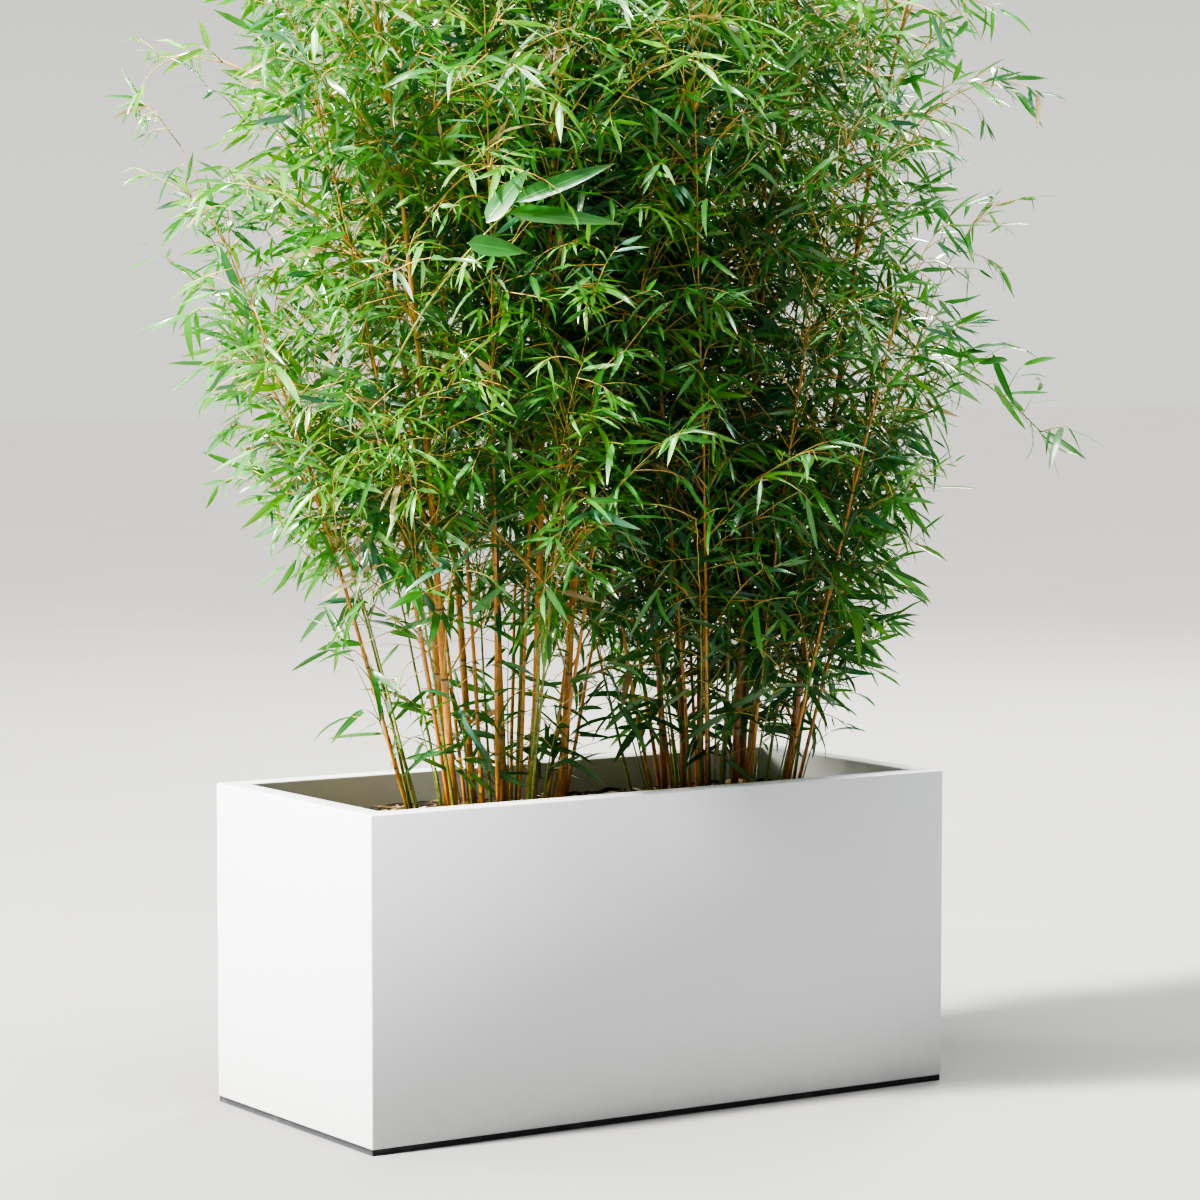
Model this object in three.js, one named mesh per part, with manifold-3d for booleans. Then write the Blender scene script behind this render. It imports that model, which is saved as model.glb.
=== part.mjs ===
// A clump-forming bamboo in a long white planter: two clumps of canes stand in one soil bed,
// fan out as they rise, and carry narrow hanging leaves from a hand above the rim to their tips.
// Millimetres, +Z up. The origin is the centre of the planter's underside, +X runs along the
// planter and -Y is its front.
import * as THREE from "three";
import { mergeVertices } from "three/addons/utils/BufferGeometryUtils.js";
import Module from "manifold-3d";

const wasm = await Module();
wasm.setup();

// Gap that neighbouring pieces keep where they meet.
const SEAT_GAP = 0.3;
// Corners nearer than this are joined into one after twigs and leaves are fused.
const JOIN_TOLERANCE = 0.02;

// The planter and what fills it.
const PLANTER = { length: 1000, depth: 460, height: 476, wall: 36, floor: 40, cornerRadius: 3 };
const BASE_STRIP = { height: 8, inset: 1.5 };
const SOIL_BELOW_RIM = 40;
const SOIL_TOP = PLANTER.height - SOIL_BELOW_RIM;

// The plant. No leaf reaches above TOTAL_HEIGHT. Each clump is an oval of canes whose middle
// leans by lean radians along X, and whose lowest leaves start lower by drop.
const TOTAL_HEIGHT = 2100;
const CLUMPS = [
  { side: "left", x: -165, y: 5, halfX: 150, halfY: 105, turn: 0.5, lean: -0.05, drop: 0, seed: 11 },
  { side: "right", x: 245, y: -5, halfX: 155, halfY: 105, turn: 2.2, lean: 0.03, drop: 90, seed: 47 },
];
const CANES_PER_CLUMP = 6;
const SHOOTS_PER_CLUMP = 2;
const GOLDEN_ANGLE = Math.PI * (3 - Math.sqrt(5));
const CANE = {
  length: 1640, // along the cane, for the strongest
  shortestShare: 0.86,
  footRadius: 6.6,
  tipShare: 0.2, // of the foot's radius
  joints: 15,
  spread: 0.125, // radians outward, for a cane at the clump's edge
  nod: 0.24, // radians more at the tip
  kink: 0.02, // radians either way at each joint
  sides: 6,
};
const SHOOT = { length: 560, footRadius: 3.4, joints: 6, spread: 0.2 };

// The crown's outline, as half widths along X and Y at some heights.
const CROWN = {
  heights: [SOIL_TOP, 760, 1180, 1600, TOTAL_HEIGHT],
  halfX: [430, 560, 690, 800, 600],
  halfY: [200, 320, 410, 450, 330],
};
// Where a stem's foliage starts, by its place in the clump, and how it is shared into masses.
const FOLIAGE = {
  starts: [1180, 1120, 900, 860, 600, 570, 640, 600],
  masses: [2, 2, 3, 3, 4, 4, 1, 1],
  aboveTip: 130,
  turns: 4, // each mass is grown this often, and the fullest is kept
  sprays: 4,
  spraysLow: 3,
};
const LEAF = { length: 190, width: 50, thickness: 2.4, droop: 0.16 };
const LEAF_STEP = 8; // along the twig, between leaf places
const LEAF_SPACING = 10; // between the midribs of one mass's leaves
const TWIG_RADIUS = { stem: 2.6, twig: 2.0, tip: 1.7 };
// How far a mass keeps from the next one, and from a cane.
const SPACE_MARGIN = 4;
const LIMB_MARGIN = 1.5;
// The long low bough that arches out past the planter's right end, and the space it keeps.
const ARCH = {
  fromHeight: 985,
  crest: new THREE.Vector3(560, -110, 1170),
  tip: new THREE.Vector3(700, -160, 1010),
  radius: 3.4,
  leafPlaces: [0.42, 0.56, 0.69, 0.8, 0.91],
  space: new THREE.Box3(new THREE.Vector3(480, -330, 800), new THREE.Vector3(850, 40, 1150)),
};

const COLOURS = {
  planter: { color: 0xe9e9e7, roughness: 0.45, metalness: 0 },
  strip: { color: 0x4a4e52, roughness: 0.6, metalness: 0 },
  soil: { color: 0x33261c, roughness: 0.95, metalness: 0 },
  cane: { color: 0xb5742f, roughness: 0.5, metalness: 0 },
  shoot: { color: 0x87933d, roughness: 0.5, metalness: 0 },
  leaf: { color: 0x3e7a2c, roughness: 0.45, metalness: 0 },
};

const plant = new THREE.Group();

function addMesh(name, geometry, finish) {
  const mesh = new THREE.Mesh(geometry, new THREE.MeshStandardMaterial(finish));
  mesh.name = name;
  plant.add(mesh);
}

// A repeatable stream of numbers, so that the plant grows the same way each time.
class Draw {
  constructor(seed) {
    this.state = (seed * 7919 + 104729) % 2147483647;
    for (let i = 0; i < 3; i++) this.next();
  }
  next() {
    this.state = (this.state * 48271) % 2147483647;
    return this.state / 2147483647;
  }
  between(low, high) {
    return low + (high - low) * this.next();
  }
}

// Solids for cutting and joining.
function toSolid(geometry) {
  const bare = geometry.index ? geometry.toNonIndexed() : geometry.clone();
  bare.deleteAttribute("normal");
  bare.deleteAttribute("uv");
  const merged = mergeVertices(bare, 1e-4);
  return new wasm.Manifold(
    new wasm.Mesh({
      numProp: 3,
      vertProperties: merged.attributes.position.array,
      triVerts: new Uint32Array(merged.index.array),
    }),
  );
}

function toGeometry(solid) {
  const mesh = solid.getMesh();
  return new THREE.BufferGeometry()
    .setAttribute("position", new THREE.BufferAttribute(mesh.vertProperties, 3))
    .setIndex(new THREE.BufferAttribute(mesh.triVerts, 1));
}

// One closed body from pieces that cross: a sealed hollow is filled and a loose scrap is dropped.
function fuse(pieces) {
  const joined = pieces.map(toSolid).reduce((sum, piece) => sum.add(piece));
  const bodies = joined.decompose();
  const body = bodies.reduce((best, other) => (other.volume() > best.volume() ? other : best));
  return body.asOriginal().simplify(JOIN_TOLERANCE);
}

// The planter
function roundedBlock(length, depth, height, radius, bottom) {
  const x = length / 2;
  const y = depth / 2;
  const outline = new THREE.Shape();
  outline.moveTo(x - radius, -y);
  outline.absarc(x - radius, -y + radius, radius, -Math.PI / 2, 0, false);
  outline.absarc(x - radius, y - radius, radius, 0, Math.PI / 2, false);
  outline.absarc(-x + radius, y - radius, radius, Math.PI / 2, Math.PI, false);
  outline.absarc(-x + radius, -y + radius, radius, Math.PI, 1.5 * Math.PI, false);
  const block = new THREE.ExtrudeGeometry(outline, {
    depth: height,
    bevelEnabled: false,
    curveSegments: 4,
  });
  return block.translate(0, 0, bottom);
}

const innerLength = PLANTER.length - 2 * PLANTER.wall;
const innerDepth = PLANTER.depth - 2 * PLANTER.wall;

function buildPlanter() {
  const shellBottom = BASE_STRIP.height + SEAT_GAP;
  const outside = roundedBlock(
    PLANTER.length,
    PLANTER.depth,
    PLANTER.height - shellBottom,
    PLANTER.cornerRadius,
    shellBottom,
  );
  const inside = roundedBlock(
    innerLength,
    innerDepth,
    PLANTER.height,
    PLANTER.cornerRadius,
    PLANTER.floor,
  );
  addMesh("planter", toGeometry(toSolid(outside).subtract(toSolid(inside))), COLOURS.planter);

  const strip = roundedBlock(
    PLANTER.length - 2 * BASE_STRIP.inset,
    PLANTER.depth - 2 * BASE_STRIP.inset,
    BASE_STRIP.height,
    PLANTER.cornerRadius,
    0,
  );
  addMesh("base_strip", strip, COLOURS.strip);

  const soilBottom = PLANTER.floor + SEAT_GAP;
  const soil = roundedBlock(
    innerLength - 2 * SEAT_GAP,
    innerDepth - 2 * SEAT_GAP,
    SOIL_TOP - soilBottom,
    PLANTER.cornerRadius,
    soilBottom,
  );
  addMesh("soil", soil, COLOURS.soil);
}

// Which way a line of points runs at one of them.
function directionAt(points, i) {
  const before = points[Math.max(i - 1, 0)];
  const after = points[Math.min(i + 1, points.length - 1)];
  return after.clone().sub(before).normalize();
}

// The corners of a limb's rings. The first of each faces along the hint, and the rings lie
// square to the line or, if level, flat.
function ringCorners(points, radii, sides, hint, level = false) {
  return points.flatMap((point, i) => {
    const along = level ? new THREE.Vector3(0, 0, 1) : directionAt(points, i);
    const across = hint.clone().addScaledVector(along, -hint.dot(along)).normalize();
    const third = along.clone().cross(across);
    return Array.from({ length: sides }, (_, k) => {
      const angle = (2 * Math.PI * k) / sides;
      return point
        .clone()
        .addScaledVector(across, radii[i] * Math.cos(angle))
        .addScaledVector(third, radii[i] * Math.sin(angle));
    });
  });
}

function limbFaces(rings, sides) {
  const faces = [];
  for (let i = 0; i + 1 < rings; i++) {
    for (let k = 0; k < sides; k++) {
      const a = i * sides + k;
      const b = i * sides + ((k + 1) % sides);
      faces.push([a, b, b + sides], [a, b + sides, a + sides]);
    }
  }
  const last = (rings - 1) * sides;
  for (let k = 1; k + 1 < sides; k++) {
    faces.push([0, k + 1, k], [last, last + k, last + k + 1]);
  }
  return faces;
}

// A closed tapering limb along a line of points.
function limb(points, radii, sides, hint, level = false) {
  const corners = ringCorners(points, radii, sides, hint, level);
  const faces = limbFaces(points.length, sides);
  return new THREE.BufferGeometry().setFromPoints(corners).setIndex(faces.flat());
}

// Canes and shoots. Each is a line of joints with a radius at each.
function footOf(clump, place) {
  const reach = Math.sqrt((place + 0.5) / (CANES_PER_CLUMP + SHOOTS_PER_CLUMP));
  const angle = clump.turn + place * GOLDEN_ANGLE;
  return new THREE.Vector3(
    clump.x + clump.halfX * reach * Math.cos(angle),
    clump.y + clump.halfY * reach * Math.sin(angle),
    SOIL_TOP + SEAT_GAP,
  );
}

function growStem(clump, place) {
  const draw = new Draw(clump.seed + place);
  const isShoot = place >= CANES_PER_CLUMP;
  const kind = isShoot ? SHOOT : CANE;
  const strength = draw.between(CANE.shortestShare, 1);
  const length = kind.length * strength;
  const footRadius = kind.footRadius * draw.between(0.8, 1);
  const foot = footOf(clump, place);
  const leanX = clump.lean + ((foot.x - clump.x) / clump.halfX) * kind.spread;
  const leanY = ((foot.y - clump.y) / clump.halfY) * kind.spread;
  const outward = Math.hypot(leanX, leanY);
  const points = [foot];
  const radii = [footRadius];
  for (let j = 1; j <= kind.joints; j++) {
    const share = j / kind.joints;
    const bend = 1 + (CANE.nod * share ** 3) / Math.max(outward, 0.05);
    const tiltX = leanX * bend + draw.between(-CANE.kink, CANE.kink);
    const tiltY = leanY * bend + draw.between(-CANE.kink, CANE.kink);
    const step = new THREE.Vector3(Math.sin(tiltX), Math.sin(tiltY), 1)
      .normalize()
      .multiplyScalar(length / kind.joints);
    points.push(points[j - 1].clone().add(step));
    radii.push(footRadius * (1 - (1 - CANE.tipShare) * share));
  }
  const label = isShoot ? "shoot" : "cane";
  const number = isShoot ? place - CANES_PER_CLUMP + 1 : place + 1;
  return { name: `${label}_${clump.side}_${number}`, isShoot, points, radii, clump, place };
}

const stems = CLUMPS.flatMap((clump) =>
  Array.from({ length: CANES_PER_CLUMP + SHOOTS_PER_CLUMP }, (_, place) => growStem(clump, place)),
);
const cornerHint = new THREE.Vector3(1, 0, 0);

function buildStems() {
  for (const stem of stems) {
    const finish = stem.isShoot ? COLOURS.shoot : COLOURS.cane;
    addMesh(stem.name, limb(stem.points, stem.radii, CANE.sides, cornerHint, true), finish);
  }
}

// The axis of a stem at a height: its place and how thick it is there.
function stemAt(stem, height) {
  const { points, radii } = stem;
  let i = 0;
  while (i + 2 < points.length && points[i + 1].z < height) i++;
  const rise = points[i + 1].z - points[i].z;
  const share = THREE.MathUtils.clamp((height - points[i].z) / rise, 0, 1);
  return {
    point: points[i].clone().lerp(points[i + 1], share),
    radius: THREE.MathUtils.lerp(radii[i], radii[i + 1], share),
  };
}

// The crown's half width at a height, from those of the outline's levels.
function crownHalf(values, height) {
  let i = 0;
  while (i + 2 < CROWN.heights.length && CROWN.heights[i + 1] < height) i++;
  const share = (height - CROWN.heights[i]) / (CROWN.heights[i + 1] - CROWN.heights[i]);
  return THREE.MathUtils.lerp(values[i], values[i + 1], THREE.MathUtils.clamp(share, 0, 1));
}

function insideCrown(point) {
  if (point.z > TOTAL_HEIGHT) return false;
  const x = point.x / crownHalf(CROWN.halfX, point.z);
  const y = point.y / crownHalf(CROWN.halfY, point.z);
  return x * x + y * y < 1;
}

// Of the stems that bear foliage at a point's height, its owner is the one with the nearest axis.
function belongsTo(owner, point) {
  const distance = (stem) => {
    const axis = stemAt(stem, point.z).point;
    return Math.hypot(axis.x - point.x, axis.y - point.y);
  };
  const own = distance(owner);
  return stems.every(
    (other) =>
      other === owner ||
      point.z < other.masses[0].bottom ||
      point.z > other.masses[other.masses.length - 1].top ||
      own + 2 * SPACE_MARGIN < distance(other),
  );
}

// The gap between the segments from a to b and from c to d.
function segmentGap(a, b, c, d) {
  const u = b.clone().sub(a);
  const v = d.clone().sub(c);
  const w = a.clone().sub(c);
  const uu = u.dot(u);
  const uv = u.dot(v);
  const vv = v.dot(v);
  const spread = uu * vv - uv * uv;
  let s = spread < 1e-9 ? 0 : (uv * v.dot(w) - vv * u.dot(w)) / spread;
  s = THREE.MathUtils.clamp(s, 0, 1);
  let t = THREE.MathUtils.clamp((v.dot(w) + uv * s) / vv, 0, 1);
  s = THREE.MathUtils.clamp((uv * t - u.dot(w)) / uu, 0, 1);
  return a.clone().addScaledVector(u, s).distanceTo(c.clone().addScaledVector(v, t));
}

// What twigs and leaves keep clear of: every stem and, once it is grown, the arching bough.
const obstacles = [...stems];

// True if a round bar from a to b, of that radius, keeps clear of every obstacle but one.
function clearOfStems(a, b, radius, except = null) {
  return obstacles.every(
    (stem) =>
      stem === except ||
      stem.points.every(
        (point, i) =>
          i === 0 ||
          segmentGap(a, b, stem.points[i - 1], point) > stem.radii[i - 1] + radius + LIMB_MARGIN,
      ),
  );
}

function curve(start, middle, end, steps) {
  return new THREE.QuadraticBezierCurve3(start, middle, end).getPoints(steps);
}

function taper(points, from, to) {
  return points.map((_, i) => THREE.MathUtils.lerp(from, to, i / (points.length - 1)));
}

// True if all of a line but its first point lies in the space, and all of it clear of stems.
function lineFits(points, radius, inSpace) {
  return points.every(
    (point, i) => i === 0 || (inSpace(point) && clearOfStems(points[i - 1], point, radius)),
  );
}

// How far the space runs from an axis point in a flat direction.
function reachOf(axis, direction, inSpace) {
  const stride = 12;
  let reach = stride;
  while (reach < 600 && inSpace(axis.clone().addScaledVector(direction, reach))) reach += stride;
  return reach - stride;
}

const flatDirection = (angle) => new THREE.Vector3(Math.cos(angle), Math.sin(angle), 0);

// A twig of three sides whose faces near its end grow out into leaves. A leaf is a sleeve from
// the four corners of one face to two wings, a keel and a hanging tip.
class LeafyTwig {
  constructor(line, radii, hint) {
    this.line = line;
    this.corners = ringCorners(line, radii, 3, hint);
    this.faces = limbFaces(line.length, 3);
    this.midribs = [];
  }

  // The twig's own run, but for the stretch where it leaves the stem.
  span() {
    return [this.line[0].clone().lerp(this.line[1], 0.2), this.line[this.line.length - 1]];
  }

  // The four corners round one face, or the end's three with the top one twice.
  faceLoop(ring, side) {
    if (ring === this.line.length - 1) {
      const first = 3 * ring;
      return [first + 2, first, first, first + 1];
    }
    const a = 3 * ring + side;
    const b = 3 * ring + ((side + 1) % 3);
    return [a, b, b + 3, a + 3];
  }

  // A leaf's points on a loop of corners: two wings, a keel and the tip.
  leafPoints(loop, ring, draw, attempt) {
    const spread = 1 + 0.12 * attempt;
    const [a, b, c, d] = loop.map((corner) => this.corners[corner]);
    const root = a.clone().add(b).add(c).add(d).multiplyScalar(0.25);
    const along = directionAt(this.line, ring);
    const isEnd = ring === this.line.length - 1;
    const span = d.clone().sub(a);
    const outward = isEnd ? along.clone() : b.clone().sub(a).cross(span).normalize();
    const sideways = along.clone().cross(outward);
    const heading = outward
      .clone()
      .addScaledVector(along, isEnd ? 0 : 0.8 + draw.between(-0.4, 0.4) * spread)
      .addScaledVector(sideways, draw.between(-0.35, 0.35) * spread)
      .add(new THREE.Vector3(0, 0, -0.35 + draw.between(-0.5, 0.3) * spread))
      .normalize();
    span.addScaledVector(heading, -heading.dot(span)).normalize();
    span.applyAxisAngle(heading, draw.between(-0.5, 0.5));
    const raised = span.clone().cross(heading);
    const share = draw.between(0.8, 1.08) * (1 - 0.035 * attempt);
    const length = LEAF.length * share;
    const middle = root.clone().addScaledVector(heading, 0.36 * length);
    const tip = root.clone().addScaledVector(heading, length);
    tip.z -= LEAF.droop * length;
    return {
      root,
      points: [
        middle.clone().addScaledVector(span, (-LEAF.width * share) / 2),
        middle.clone().addScaledVector(span, (LEAF.width * share) / 2),
        middle.clone().addScaledVector(raised, -LEAF.thickness),
        tip,
      ],
    };
  }

  // Grows one leaf, if in a few tries it lies in the space, off the stems and off other leaves.
  addLeaf(ring, side, draw, taken, inSpace) {
    const loop = this.faceLoop(ring, side);
    for (let attempt = 0; attempt < 8; attempt++) {
      const { root, points } = this.leafPoints(loop, ring, draw, attempt);
      const tip = points[3];
      const neck = root.clone().lerp(tip, 0.14);
      const others = [...taken, ...this.midribs];
      if (others.some(([from, to]) => segmentGap(neck, tip, from, to) < LEAF_SPACING)) continue;
      if (!points.every(inSpace) || !clearOfStems(root, tip, LEAF.width / 2)) continue;
      this.midribs.push([neck, tip]);
      this.openFace(loop, points);
      return;
    }
  }

  // Puts a leaf's sleeve in the place of a face.
  openFace(loop, points) {
    const own = new Set(loop);
    this.faces = this.faces.filter((face) => !face.every((corner) => own.has(corner)));
    const [w0, w1, keel, end] = points.map((_, i) => this.corners.length + i);
    const [a, b, c, d] = loop;
    if (b !== c) this.faces.push([b, c, w1]);
    this.faces.push([a, b, w0], [c, d, w1], [b, w1, w0], [w0, w1, end]);
    this.faces.push([keel, d, a], [keel, a, w0], [keel, w0, end], [keel, end, w1], [keel, w1, d]);
    this.corners.push(...points);
  }

  geometry() {
    return new THREE.BufferGeometry().setFromPoints(this.corners).setIndex(this.faces.flat());
  }
}

// A twig from a point to an end, carrying leaves on the faces of two short steps and its end.
function growSpray(from, end, draw, taken, inSpace) {
  const ahead = end.clone().sub(from).add(new THREE.Vector3(0, 0, -25)).normalize();
  const line = [from, end];
  line.push(end.clone().addScaledVector(ahead, LEAF_STEP));
  line.push(end.clone().addScaledVector(ahead, 2 * LEAF_STEP));
  if (!lineFits(line, TWIG_RADIUS.twig, inSpace)) return null;
  const up = new THREE.Vector3(0.1, 0.1, 1);
  const twig = new LeafyTwig(line, taper(line, TWIG_RADIUS.twig, TWIG_RADIUS.tip), up);
  if (taken.some(([a, b]) => segmentGap(...twig.span(), a, b) < LEAF_SPACING)) return null;
  for (const [ring, side] of [[1, 0], [1, 2], [1, 1], [2, draw.next() < 0.5 ? 0 : 2], [3, 0]]) {
    twig.addLeaf(ring, side, draw, taken, inSpace);
  }
  return twig;
}

// Where a bough leaves a stem: a point just clear of the stem's corner at one of its joints, and
// a second point straight out from there.
function seatOn(owner, joint, flat) {
  const along = directionAt(owner.points, joint);
  const out = flat.clone().addScaledVector(along, -flat.dot(along)).normalize();
  const corner = owner.points[joint].clone().addScaledVector(flat, owner.radii[joint]);
  const start = corner.addScaledVector(out, SEAT_GAP);
  return [start, start.clone().addScaledVector(out, 9)];
}

// The stem of a mass: it starts clear of its owner's corner at one of the owner's joints, and
// rises beside it through the widest part of the space.
function massStem(owner, mass, inSpace) {
  const joint = owner.points.findIndex((point) => point.z > mass.bottom + 20);
  const foot = owner.points[joint].z;
  const rise = Math.min(mass.top - foot - 70, 330);
  const middle = stemAt(owner, foot + rise / 2).point;
  const corners = Array.from({ length: CANE.sides }, (_, k) => {
    const flat = flatDirection((2 * Math.PI * k) / CANE.sides);
    return { flat, reach: reachOf(middle, flat, inSpace) };
  });
  corners.sort((a, b) => b.reach - a.reach);
  for (const share of [0.33, 0.2, 0.1]) {
    for (const { flat, reach } of corners) {
      const [start, elbow] = seatOn(owner, joint, flat);
      const away = THREE.MathUtils.clamp(reach * share, 16, 90);
      const shoulder = stemAt(owner, foot + 0.3 * rise).point.addScaledVector(flat, away);
      const upper = stemAt(owner, foot + rise).point.addScaledVector(flat, away);
      const points = [start, ...curve(elbow, shoulder, upper, 4)];
      const startFits = clearOfStems(start, elbow, TWIG_RADIUS.stem, owner);
      if (startFits && lineFits(points.slice(1), TWIG_RADIUS.stem, inSpace)) return points;
    }
  }
  return null;
}

// One mass: sprays are aimed evenly round the space, each on a twig from the nearest lower
// stretch of the mass's stem. Of a few tries for each spray the one with most leaves is kept.
function growMass(owner, mass, draw, inSpace) {
  const stem = massStem(owner, mass, inSpace);
  if (!stem) return null;
  const stemRadii = taper(stem, TWIG_RADIUS.stem, TWIG_RADIUS.twig);
  stemRadii[0] = TWIG_RADIUS.tip;
  const pieces = [limb(stem, stemRadii, 3, new THREE.Vector3(0.3, 0.2, 1))];
  const taken = stem.slice(2).map((point, i) => [stem[i + 1], point]);
  const bottom = stem[1].z;
  let leaves = 0;
  for (let j = 0; j < mass.sprays; j++) {
    const wanted = bottom + ((j + 0.6) / mass.sprays) * (mass.top - bottom - 30);
    let best = null;
    for (let attempt = 0; attempt < 70 && !(best?.midribs.length >= 5); attempt++) {
      const height = wanted + draw.between(-40, 40);
      const angle = (j + owner.place) * GOLDEN_ANGLE + draw.between(-0.1, 0.1) * (2 + attempt);
      const direction = flatDirection(angle);
      const axis = stemAt(owner, height).point;
      const away = reachOf(axis, direction, inSpace) * draw.between(0.2, 0.75);
      const end = axis.clone().addScaledVector(direction, away);
      const from = stem.filter((p) => p.z < height - 10).pop() || stem[1];
      const spray = growSpray(from, end, draw, taken, inSpace);
      if (spray && spray.midribs.length > (best ? best.midribs.length : 1)) best = spray;
    }
    if (!best) continue;
    pieces.push(best.geometry());
    taken.push(...best.midribs, best.span());
    leaves += best.midribs.length;
  }
  return { pieces, leaves };
}

// The masses of a stem, from the bottom up, with the heights between which each lies.
function massesOf(stem) {
  const draw = new Draw(stem.clump.seed * 10 + stem.place);
  const tip = stem.points[stem.points.length - 1].z;
  const bottom = FOLIAGE.starts[stem.place] - stem.clump.drop + draw.between(-40, 40);
  const top = Math.min(tip + FOLIAGE.aboveTip, TOTAL_HEIGHT);
  const count = FOLIAGE.masses[stem.place];
  return Array.from({ length: count }, (_, i) => ({
    name: `foliage_${stem.clump.side}_${stem.place + 1}_${i + 1}`,
    bottom: THREE.MathUtils.lerp(bottom, top, i / count) + SPACE_MARGIN,
    top: THREE.MathUtils.lerp(bottom, top, (i + 1) / count) - SPACE_MARGIN,
    sprays: stem.isShoot ? FOLIAGE.spraysLow : FOLIAGE.sprays,
  }));
}

// The arching bough: it rises from the outermost cane of the right clump, crosses a crest and
// hangs, and its leaves grow from its own faces.
function buildArch() {
  const height = ARCH.fromHeight;
  const outness = (stem) => (stem.isShoot ? -Infinity : stemAt(stem, height).point.x);
  const owner = stems.reduce((far, stem) => (outness(stem) > outness(far) ? stem : far));
  const joint = owner.points.findIndex((point) => point.z > height);
  const [start, elbow] = seatOn(owner, joint, flatDirection(0));
  const bow = new THREE.QuadraticBezierCurve3(elbow, ARCH.crest, ARCH.tip);
  const places = ARCH.leafPlaces.flatMap((share) => {
    const place = bow.getPoint(share);
    return [place, place.clone().addScaledVector(bow.getTangent(share), LEAF_STEP)];
  });
  const line = [start, elbow, bow.getPoint(0.18), ...places, ARCH.tip];
  const radii = taper(line, ARCH.radius, TWIG_RADIUS.tip);
  radii[0] = TWIG_RADIUS.tip;
  const bough = new LeafyTwig(line, radii, new THREE.Vector3(0.1, 0.1, 1));
  const draw = new Draw(5);
  const inSpace = (point) => ARCH.space.containsPoint(point);
  for (let ring = 3; ring < line.length; ring += 2) {
    for (const side of ring === line.length - 1 ? [0] : [0, 2, 1]) {
      bough.addLeaf(ring, side, draw, [], inSpace);
    }
  }
  addMesh("bough_right_arching", toGeometry(fuse([bough.geometry()])), COLOURS.leaf);
  obstacles.push({ points: line, radii });
}

function buildFoliage() {
  for (const stem of stems) stem.masses = massesOf(stem);
  for (const stem of stems) {
    stem.masses.forEach((mass, i) => {
      const inSpace = (point) =>
        point.z > mass.bottom &&
        point.z < mass.top &&
        insideCrown(point) &&
        !ARCH.space.containsPoint(point) &&
        belongsTo(stem, point);
      let fullest = { pieces: [], leaves: 0 };
      for (let turn = 0; turn < FOLIAGE.turns; turn++) {
        const draw = new Draw(stem.clump.seed * 1000 + stem.place * 100 + i * 10 + turn);
        const grown = growMass(stem, mass, draw, inSpace);
        if (grown && grown.leaves > fullest.leaves) fullest = grown;
      }
      if (fullest.leaves > 0) addMesh(mass.name, toGeometry(fuse(fullest.pieces)), COLOURS.leaf);
    });
  }
}

buildPlanter();
buildStems();
buildArch();
buildFoliage();

export default plant;
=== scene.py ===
# %% [markdown]
# # A bamboo in a long planter
#
# Two clumps of slender canes stand in one bed of soil in a white box planter. This script
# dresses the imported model: finished pieces take the place of its plain solids. The packed
# model is loaded first, because the sizes of the planter and the soil are taken from it.

import math
from collections import namedtuple

import bmesh
import bpy
import numpy as np
from mathutils import Matrix, Vector, noise


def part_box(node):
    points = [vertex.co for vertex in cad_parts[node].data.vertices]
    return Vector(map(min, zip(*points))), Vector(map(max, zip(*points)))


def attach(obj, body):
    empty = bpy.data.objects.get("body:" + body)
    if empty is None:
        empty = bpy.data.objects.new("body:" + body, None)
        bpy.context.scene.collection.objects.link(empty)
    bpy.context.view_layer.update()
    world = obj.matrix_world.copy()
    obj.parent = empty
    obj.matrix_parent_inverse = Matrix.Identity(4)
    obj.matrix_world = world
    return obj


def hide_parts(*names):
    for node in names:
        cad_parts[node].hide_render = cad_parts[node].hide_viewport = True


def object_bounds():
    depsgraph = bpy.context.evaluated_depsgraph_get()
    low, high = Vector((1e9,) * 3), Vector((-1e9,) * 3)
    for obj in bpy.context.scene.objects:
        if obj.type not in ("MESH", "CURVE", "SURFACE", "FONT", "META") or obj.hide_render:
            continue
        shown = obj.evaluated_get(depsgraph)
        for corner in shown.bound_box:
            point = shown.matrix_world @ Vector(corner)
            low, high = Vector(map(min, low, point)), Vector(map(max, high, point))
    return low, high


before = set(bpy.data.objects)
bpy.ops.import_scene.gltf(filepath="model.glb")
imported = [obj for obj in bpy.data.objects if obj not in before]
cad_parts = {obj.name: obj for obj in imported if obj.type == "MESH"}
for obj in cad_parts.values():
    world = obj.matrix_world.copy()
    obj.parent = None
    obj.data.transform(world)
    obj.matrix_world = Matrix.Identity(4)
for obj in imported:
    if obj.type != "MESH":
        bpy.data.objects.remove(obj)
cad_low, cad_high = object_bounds()
planter_low, planter_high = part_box("planter")
strip_low, strip_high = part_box("base_strip")
soil_low, soil_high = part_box("soil")
print("nodes", len(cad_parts), "box", tuple(cad_low), tuple(cad_high))

# %% [markdown]
# ## The camera
#
# The planter's seven visible corners fix the camera: a long lens, a little over a metre up and
# not quite six metres away, which looks slightly down on the planter's left front corner. A
# long lens keeps the planter's edges nearly parallel, as in a picture taken from further off.

# %% Place the camera
CAMERA_PLACE = (-3.1084, -4.7994, 1.1410)
CAMERA_TURN = math.radians(-33.16)
CAMERA_PITCH = math.radians(4.0)
LENS_MM = 115.1
SENSOR_MM = 36
FAR_CLIP = 200


def put(name, data):
    """An object in the scene for a camera, a mesh or a light."""
    made = bpy.data.objects.new(name, data)
    bpy.context.scene.collection.objects.link(made)
    return made


camera = put("camera", bpy.data.cameras.new("camera"))
camera.data.lens = LENS_MM
camera.data.sensor_width = SENSOR_MM
camera.data.clip_end = FAR_CLIP
camera.location = CAMERA_PLACE
camera.rotation_euler = (math.pi / 2 - CAMERA_PITCH, 0, CAMERA_TURN)
bpy.context.scene.camera = camera
print("camera", camera.location[:], "lens", camera.data.lens)

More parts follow.
